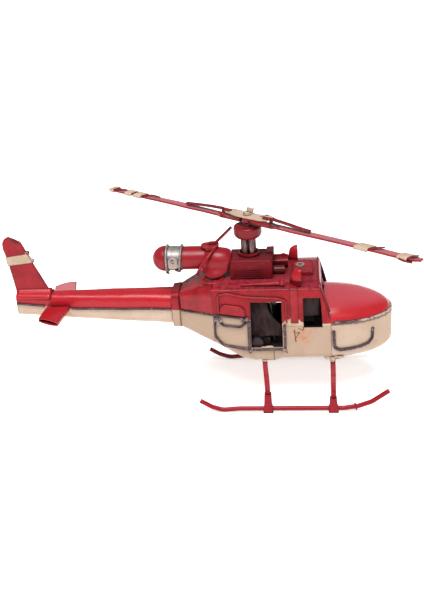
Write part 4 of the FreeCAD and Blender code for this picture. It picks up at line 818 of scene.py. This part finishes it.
def scoop(made, face_x, centre_y, depth, levels, swell=1.0):
    """A thumb-shaped shell, cut off flat in front, between the first and the last of the levels."""
    rows = []
    for level in levels:
        narrow = scoop_narrowing(level)
        ring = []
        for step in range(29):
            turn = math.radians(88 + 184 * step / 28)
            place = Vector((level / SCOOP_HIGH * 2.4, turn * 2, centre_y))
            rough = swell * (1 + 0.05 * noise.noise(place))
            ring.append(spot_at(face_x + depth * narrow * math.cos(turn) * rough,
                                centre_y + 4.0 * narrow * math.sin(turn) * rough, ROOF_Z + level))
        rows.append(ring)
    sheet(made, rows, 0.7)


def scoops():
    """The two intakes, with a dark band at the foot and a dark sheet in the throat of each, both painted
    shade.
    """
    intakes = ((36.9, -20.9, 7.0), (34.4, 20.2, 6.4))
    shells = bmesh.new()
    # Near-black bands round each intake's base: painted shade under the shell.
    feet = bmesh.new()
    # Dark sheets in each intake's open front: painted shade inside it.
    throat_shades = bmesh.new()
    for face_x, centre_y, depth in intakes:
        scoop(shells, face_x, centre_y, depth,
              (3.2, 4.4, 5.6, 6.8, 7.9, 8.8, 9.6, 10.2, 10.7, 11.05, 11.25, SCOOP_HIGH))
        scoop(feet, face_x, centre_y, depth, (0.0, 0.9, 1.8, 2.7, 3.4), swell=1.04)
        rows = []
        for level in (0.3, 2.0, 4.0, 6.0, 8.0, 9.4, 10.2):
            half = 3.3 * scoop_narrowing(level)
            rows.append([spot_at(face_x - 1.3 + 0.5 * math.cos(share), centre_y + half * share,
                                 ROOF_Z + level) for share in (-1.0, -0.5, 0.0, 0.5, 1.0)])
        sheet(throat_shades, rows, 0.4)
    piece("intake_scoops", shells, HOOD, sharp=60, instead_of="intake_hoods")
    piece("scoop_shade_feet", feet, SHADE_FOOT, sharp=60)
    piece("scoop_throat_shades", throat_shades, CABIN)


def roof_details():
    """The bent corner of the cowl, and the fold and the visor over the windshield."""
    made = bmesh.new()
    corner = []
    lip = []
    for side in range(8):
        share = side / 7
        raised = 0.3 * (0.3 + 0.7 * share)
        corner.append([spot_at(12.4 + 4.9 * ahead, 2.0 + 10.5 * share, 109.1 + raised * ahead ** 2)
                       for ahead in (0.0, 0.2, 0.4, 0.6, 0.8, 1.0)])
        lip.append([spot_at(17.3 + 0.5 * down, 1.8 + 10.8 * share, 109.2 + raised - 3.4 * down)
                    for down in (0.0, 1 / 3, 2 / 3, 1.0)])
    sheet(made, corner, 0.6)
    sheet(made, lip, 0.5)
    piece("cowl_corner", made, DEEP)
    made = bmesh.new()
    fold = route((49.8, -20.4, 94.6), (51.6, -21.4, 88.6), (54.0, -22.6, 80.4), (56.6, -23.4, 73.4))
    sweep(made, fold, (0.5, 0.9, 0.6), (0.9, 1.6, 1.0), up=Vector((0, 1, 0)), rough_mm=0.2)
    piece("shield_fold", made, DEEP)
    made = bmesh.new()
    rows = []
    for step in range(7):
        share = step / 6
        rows.append([spot_at(49.3 + 2.1 * share + 0.25 * math.cos(across * 0.09), across,
                             95.6 - 8.0 * share) for across in (-26.4, -20, -13, -6, 0, 6, 13, 20, 26.4)])
    sheet(made, rows, 0.5)
    piece("shield_visor", made, VISOR)


def drops():
    """Drops of solder and paint where wires meet."""
    made = bmesh.new()
    for number, (along, across, height, sizes) in enumerate((
            (-22.9, -29.3, 71.6, (1.9, 1.0, 1.5)), (-20.4, -29.3, 70.6, (1.5, 0.9, 1.1)),
            (-22.3, -29.4, 68.6, (1.0, 0.9, 1.5)), (-4.6, -29.3, 70.4, (1.6, 1.0, 1.1)),
            (-1.6, -29.5, 71.4, (1.2, 1.0, 1.5)), (-0.6, -30.0, 46.4, (1.3, 1.0, 1.6)),
            (0.8, -29.8, 47.9, (1.0, 0.9, 1.1)), (23.8, -29.3, 62.2, (0.9, 0.9, 1.3)),
            (22.6, -29.6, 46.2, (1.3, 0.9, 1.0)), (-23.2, -29.2, 56.0, (1.0, 0.8, 1.2)))):
        lump(made, spot_at(along, across, height), sizes, 0.7 * number, 0.5)
    piece("solder_drops", made, SOLDER)
    made = bmesh.new()
    for along, across, height, sizes, seed, rough in (
            (13.4, -27.9, 48.1, (3.2, 0.8, 1.0), 3.1, 0.5), (9.4, -28.0, 48.0, (2.0, 0.7, 0.5), 5.1, 0.5),
            (-106.5, -4.2, 62.0, (1.0, 0.9, 1.0), 1.2, 0.4), (55.0, -25.0, 37.8, (3.0, 1.6, 1.5), 2.2, 0.4),
            (62.0, -25.0, 37.6, (4.0, 1.6, 1.4), 4.2, 0.4), (58.2, -26.6, 36.4, (2.3, 1.4, 1.8), 6.2, 0.4),
            (9.4, -25.6, 35.8, (2.0, 1.2, 1.0), 8.2, 0.4)):
        lump(made, spot_at(along, across, height), sizes, seed, rough)
    piece("paint_lumps", made, CREAM)


def door_edge():
    """The second line of wire along the foot of the rear door."""
    made = bmesh.new()
    path = route((-14.6, -28.7, 50.2), (-9.6, -28.8, 48.9), (-4.4, -28.8, 48.0), (-2.0, -28.9, 47.7))
    sweep(made, path, (0.35, 0.7, 0.6), (0.3, 0.55, 0.5), rough_mm=0.2)
    piece("door_edge_wire", made, WIRE)


def cabin_sheets():
    """The leaning sheet inside the cabin, and the dark folds behind the door and the window."""
    made = bmesh.new()
    rows = []
    for step in range(9):
        share = step / 8
        rows.append([spot_at(13.5 + 4.0 * share + 0.5 * math.sin(share * 4), across, 87.5 - 39.5 * share)
                     for across in (-20.0, -8.0, 4.0, 16.0, 25.0)])
    sheet(made, rows, 0.8)
    piece("inner_sheet", made, CABIN)
    made = bmesh.new()
    rows = []
    for height, last in ((86.5, 11.6), (82.0, 12.0), (77.0, 12.8), (72.0, 14.6), (68.0, 18.0), (64.0, 21.6),
                         (59.0, 22.2), (54.5, 22.0)):
        row = []
        for step in range(10):
            wave = 0.9 * math.sin(step * 1.1 + height * 0.12)
            row.append(spot_at(-4.0 + (last + 4.0) * step / 9, -22.6 + wave, height))
        rows.append(row)
    sheet(made, rows, 0.6)
    rows = []
    for height in (86.0, 82.0, 78.0, 74.0, 71.0, 69.4):
        rows.append([spot_at(34.0 + 1.9 * step, -22.4 - 0.12 * (height - 69), height + 0.14 * step)
                     for step in range(9)])
    sheet(made, rows, 0.6)
    piece("inner_curtains", made, CURTAIN)


def fin_details():
    """The fold at the fin's top, the two crimped wires on its front edge, and its flared foot."""
    made = bmesh.new()
    fold = route((-174.6, -0.7, 126.5), (-171.6, -1.0, 125.2), (-168.6, -1.0, 123.5))
    sweep(made, fold, (0.3, 0.7, 0.5), (0.3, 0.8, 0.5), rough_mm=0.08)
    for along, height, radius in ((-162.6, 115.0, 0.95), (-160.1, 108.6, 0.95)):
        ring = []
        for angle in turns(20):
            ring.append(spot_at(along + radius * math.cos(angle), -0.5 + 0.4 * math.sin(angle),
                                height + radius * math.sin(angle)))
        sweep(made, ring, 0.5, 0.5, up=Vector((0, 1, 0)), closed=True, sides=8, rough_mm=0.12)
    piece("fin_wires", made, MAROON)
    made = bmesh.new()
    for side in (-1, 1):
        rows = []
        for step in range(13):
            along = -176.0 + 26.8 * step / 12
            boom_half = 5.0 + (along + 176.4) / 119 * 5.6
            outline = ((0.95, 85.4), (1.3, 83.6), (0.45 * boom_half, 82.95), (0.8 * boom_half, 82.3),
                       (boom_half + 0.1, 80.9), (boom_half + 0.5, 79.5))
            rows.append([spot_at(along, side * across, height) for across, height in outline])
        sheet(made, rows, 0.45)
    piece("fin_foot", made, BRIGHT, sharp=95, instead_of="fin_angles")


def sleeve(made, near, far, skew):
    """A strip folded round a blade."""
    section = ((2.6, -1.5), (3.4, -1.1), (3.5, 0.3), (3.1, 1.35), (1.2, 1.5), (-1.2, 1.5), (-3.1, 1.35),
               (-3.5, 0.3), (-3.5, -1.1), (-2.5, -1.6))
    rows = []
    for step in range(7):
        share = step / 6
        row = []
        for across, up in section:
            along = near + (far - near) * share + skew * across
            lift = 0.12 * noise.noise(Vector((along * 0.5, across, up)))
            row.append(on_rotor(along, across, up + lift))
        rows.append(row)
    sheet(made, rows, 0.3)


def flap(made, points, wide, high):
    """A cut strip bent up from a blade."""
    sweep(made, smooth_path([on_rotor(*point) for point in points]), wide, high, flat=0.6, rough_mm=0.12)


def blade_details():
    """Cream sleeves, and the red strips and curls that stand up at the blades' ends."""
    made = bmesh.new()
    for near, far, skew in ((88.0, 98.0, 0.45), (118.0, 125.0, 0.4), (-104.6, -96.8, 0.4),
                            (-114.0, -107.0, 0.3), (-130.2, -126.0, 0.2)):
        sleeve(made, near, far, skew)
    piece("blade_sleeves", made, CREAM, sharp=95, instead_of="blade_bands", body=ROTOR)
    made = bmesh.new()
    for points, wide, high in (
            (((97.2, -2.9, 0.9), (100.6, -1.2, 1.9), (106.4, 1.6, 2.6)), (0.5, 1.0, 0.5), (0.5, 0.5, 0.35)),
            (((123.8, -2.2, 0.8), (126.6, -0.2, 1.6), (129.4, 1.4, 2.2)), (0.6, 1.3, 0.7), (0.5, 0.5, 0.4)),
            (((118.4, -3.3, -0.4), (122.0, -3.7, -1.0), (127.2, -3.4, -1.1)),
             (0.8, 0.7, 0.9), (0.9, 0.6, 0.6)),
            (((-96.6, -2.8, 0.6), (-93.4, -1.4, 1.8), (-88.4, 0.2, 2.3), (-81.4, 0.6, 2.0)),
             (1.1, 0.7, 0.45), (1.1, 0.5, 0.35)),
            (((-126.6, -2.7, 0.5), (-122.4, -1.6, 1.6), (-116.0, 0.8, 1.7)),
             (1.2, 0.9, 0.4), (1.2, 0.6, 0.35)),
            (((-107.8, -2.9, 0.2), (-105.6, -2.6, 1.7), (-105.0, -1.4, 2.2)),
             (0.6, 0.6, 0.4), (0.7, 0.6, 0.4))):
        flap(made, points, wide, high)
    piece("blade_flaps", made, DEEP, body=ROTOR)


def rotor_head():
    """The red tongues, the cream strip and cap, and the dark spots on the rotor's centre."""
    made = bmesh.new()
    flap(made, ((6.0, -4.6, 2.7), (12.0, -5.0, 2.4), (17.0, -4.6, 1.9), (22.5, -3.2, 1.1)),
         (1.4, 2.1, 2.0, 0.8), (0.5, 0.7, 0.6, 0.4))
    flap(made, ((-22.0, -3.6, 1.2), (-19.6, -4.4, 2.6), (-16.8, -4.0, 2.9)),
         (1.0, 1.5, 0.8), (0.9, 1.1, 0.6))
    piece("centre_tongue", made, RED, body=ROTOR)
    made = bmesh.new()
    flap(made, ((9.5, 2.6, 4.4), (14.0, 3.6, 4.9), (19.0, 3.2, 4.5), (26.0, 1.8, 3.5)),
         (1.2, 2.0, 1.6, 0.7), (0.4, 0.4, 0.4, 0.35))
    lump(made, on_rotor(0, 0, 4.8), (3.0, 3.0, 0.95), 2.0, 0.15)
    piece("centre_strip", made, CREAM, body=ROTOR)
    made = bmesh.new()
    lump(made, on_rotor(14.4, 3.6, 5.25), (1.4, 0.9, 0.3), 1.0, 0.3)
    lump(made, on_rotor(23.0, -2.0, 1.4), (1.6, 1.0, 0.9), 4.0, 0.5)
    lump(made, on_rotor(27.0, -1.6, 1.3), (1.3, 0.9, 0.8), 6.0, 0.5)
    piece("centre_dark_spots", made, WIRE, body=ROTOR)


def off_rotor(point):
    """A point of the frame as mm along the blades, across them and over them."""
    return ROTOR_TURN.transposed() @ (point / MM - ROTOR_CENTRE)


def narrow_plate(point):
    """The centre plate, drawn in across the blades."""
    along, across, up = off_rotor(point)
    return bent_rotor(on_rotor(along, across * 0.76, up))


def wide_band(point):
    """The silver band, drawn forward to the second ring."""
    along = point.x / MM - AXIS_X
    return bent_airframe(Vector(((AXIS_X - 58.7 + (along + 59.5) * 1.13) * MM, point.y, point.z)))


def raised_eyelet(point):
    """The band's eyelet, turned a little up round the tube. The roof box's eyelet stays."""
    if point.x > (AXIS_X - 40) * MM:
        return bent_airframe(point)
    axis = Vector((point.x, 0, EXHAUST_Z * MM))
    return axis + Matrix.Rotation(math.radians(-11), 3, "X") @ (point - axis) + Vector((0.9 * MM, 0, 0))


def flared_collar(point):
    """The mast's collar, opened out towards its rim."""
    flare = 1 + 0.09 * smooth_step(point.z, 0.1095, 0.1112)
    away = point - MAST_AXIS
    return bent_airframe(MAST_AXIS + Vector((away.x * flare, away.y * flare, away.z)))


def leaning_strut(point):
    """The rear strut, which leans back towards its top."""
    lean = smooth_step(point.z, 0.014, 0.036)
    return bent_airframe(point - Vector((1.9 * MM * lean, 0, 0)))


def puffed_plane(point):
    """A tail plane whose open tip is puffed out. The left one also leans back."""
    out = smooth_step(abs(point.y), 0.012, 0.034)
    along = point.x / MM - AXIS_X
    chord = max(1 - ((along + 145.4) / 8.2) ** 2, 0.0)
    puff = (1.2 if point.z > 72.8 * MM else -0.9) * out * chord
    far = 2.4 * out if point.y > 0 else 0.0
    return bent_airframe(point + Vector((-far, 0, puff)) * MM)


def forked_blade(point):
    """The front blade with its end cut to a slanting point."""
    along, across, up = off_rotor(point)
    end = smooth_step(along, 126.2, 132.2)
    return bent_rotor(on_rotor(along, across * (1 - 0.5 * end) + 0.9 * end, up))


# ---- the model

place_camera()
set_stage()

RED = red_gloss()
RED_CLEAN = red_gloss("red_clean", wash_and_shade=0.8, shade=(0.25, 0.010, 0.018), coat=0.12)
# Painted reflection: pale pink on the blades' upward faces.
BLADE = red_gloss("red_blade", pale=(0.50, 0.19, 0.215))
# Painted light on the nose dome: a lit copy of the red, with a pale painted highlight on top.
PALE = red_gloss("red_pale_top", shade=(0.50, 0.011, 0.018), pale=(0.52, 0.09, 0.12), coat=0.45)
# Painted light: a lit copy of the red for the boom's upper shell and the fin's foot.
BRIGHT = red_gloss("red_bright", shade=(0.46, 0.012, 0.020), coat=0.2)
# Painted light: a lit copy of the red for the tail planes, with a pale painted highlight on the top of the
# left one.
PLANES = red_gloss("red_planes", shade=(0.44, 0.012, 0.020), pale=(0.60, 0.24, 0.27), coat=0.2,
                   pale_side=True)
# Painted highlight: pink on the upward faces of the skids and struts.
LEGS = red_gloss("red_legs", shade=(0.25, 0.010, 0.018), pale=(0.36, 0.05, 0.07), coat=0.05, gloss=0.1)
# Painted highlight: the visor over the windshield is given a pale pink copy of the red.
VISOR = red_gloss("red_visor", shade=(0.56, 0.16, 0.20), coat=0.0, gloss=0.0)
# Painted shade: a dark copy of the red for the far skid, the cowl's corner, the windshield's fold, the
# blades' flaps and other small parts.
DEEP = red_gloss("red_deep", shade=(0.12, 0.008, 0.012))
# Painted shade: a near-black copy of the red for the cowl and its grille, with a faint painted highlight on
# top.
COWL = red_gloss("red_cowl", wash_and_shade=1.0, shade=(0.075, 0.005, 0.008), pale=(0.15, 0.012, 0.018),
                 coat=0.0, gloss=0.06)
# Painted shade: a dark copy of the red for the mast's disc under the blades.
DISC = red_gloss("red_disc", shade=(0.16, 0.009, 0.013))
# Painted shade: near-black for the bands round the intakes' bases.
SHADE_FOOT = red_gloss("red_shade_foot", shade=(0.040, 0.004, 0.006), coat=0.0, gloss=0.0)
# Painted light: a lit copy of the red for the intakes, with less darkening in creases.
HOOD = red_gloss("red_hood", wash_and_shade=0.5, shade=(0.36, 0.012, 0.020), coat=0.12, gloss=0.12)
CREAM = cream_enamel()
# Painted shade: darkened copies of the cream for the tub, the tail cone and the boom collar below, and a
# little for the nose pan.
TUB = cream_enamel("cream_tub", tub_marks, shade=0.56)
CONE = cream_enamel("cream_cone", shade=0.62)
PAN = cream_enamel("cream_pan", pan_marks, shade=0.08)
FIN_BAND = cream_enamel("cream_fin_band", band_marks)
UPPER = red_above_cream()
WIRE = wire_metal()
RODS = mast_metal()
CABIN = dark_cabin()
CURTAIN = dark_cabin("curtain", worn_share=0.14, gloss=0.05)
RIM = wire_metal("rim_wire", 0.52, pale_from=108.0)
METAL = worn_metal()
MAROON = red_gloss("maroon_pipe", shade=(0.035, 0.010, 0.010))
SOLDER = wire_metal("solder", 0.44)
WASHER = wire_metal("washer", 0.30)

# The finish of each material slot, and of the CAD nodes that have one of their own.
FINISH = {"red_paint": RED, "cream_paint": CREAM, "dark_wire": WIRE,
          "dark_interior": CABIN, "bare_metal": METAL}
SPECIAL = {
    "nose_rim_wire": RIM, "tail_boom_upper": BRIGHT, "tail_planes": PLANES,
    "tail_cone_lower": CONE, "boom_collar_lower": CONE,
    "skid_right": LEGS, "skid_clamps": LEGS, "cross_strut_rear": LEGS, "cross_strut_front": LEGS,
    "skid_left": DEEP, "antenna_rod": DEEP, "stabiliser_bars": DEEP, "eyelets": WASHER,
    "cabin_upper": UPPER, "mast_rods": RODS, "cabin_tub": TUB, "nose_pan": PAN, "fin_band": FIN_BAND,
    "rotor_blade_front": BLADE, "rotor_blade_rear": BLADE, "nose_dome": PALE,
    "exhaust_tube": RED_CLEAN, "exhaust_cap": RED_CLEAN, "engine_cowl": COWL, "cowl_grille": COWL,
    "roof_pipe": MAROON, "mast_disc": DISC, "rotor_pin": WIRE,
}

# In turn: nodes shown as they are, nodes that pieces replace, changes of shape, and open shells.
KEPT = ["rotor_pin", "tail_rotor_pin", "tail_rotor", "rotor_hub", "mast_disc"]
FORMED = ["band_rings", "exhaust_elbow", "elbow_flange", "elbow_wrap", "intake_hoods", "blade_bands",
          "fin_angles"]
MOVES = {"centre_plate": narrow_plate, "rotor_blade_front": forked_blade, "exhaust_band": wide_band,
         "eyelets": raised_eyelet, "cross_strut_rear": leaning_strut, "mast_collar": flared_collar,
         "tail_planes": puffed_plane}
HOLLOW = ["cabin_upper", "cabin_tub", "nose_dome", "nose_pan", "door_panels", "windshield_frame"]

bodies = frame["record"]["behaviour"]["bodies"]
for body, nodes in bodies.items():
    for node in nodes:
        finish = SPECIAL.get(node, FINISH[node_slot(node)])
        if node in KEPT:
            repaint(node, finish)
        elif node not in FORMED:
            bend(node, body, finish, move=MOVES.get(node), inner=CABIN if node in HOLLOW else None)

exhaust_rings()
band_tab()
elbow()
elbow_ribbon()
scoops()
roof_details()
drops()
door_edge()
cabin_sheets()
fin_details()
blade_details()
rotor_head()
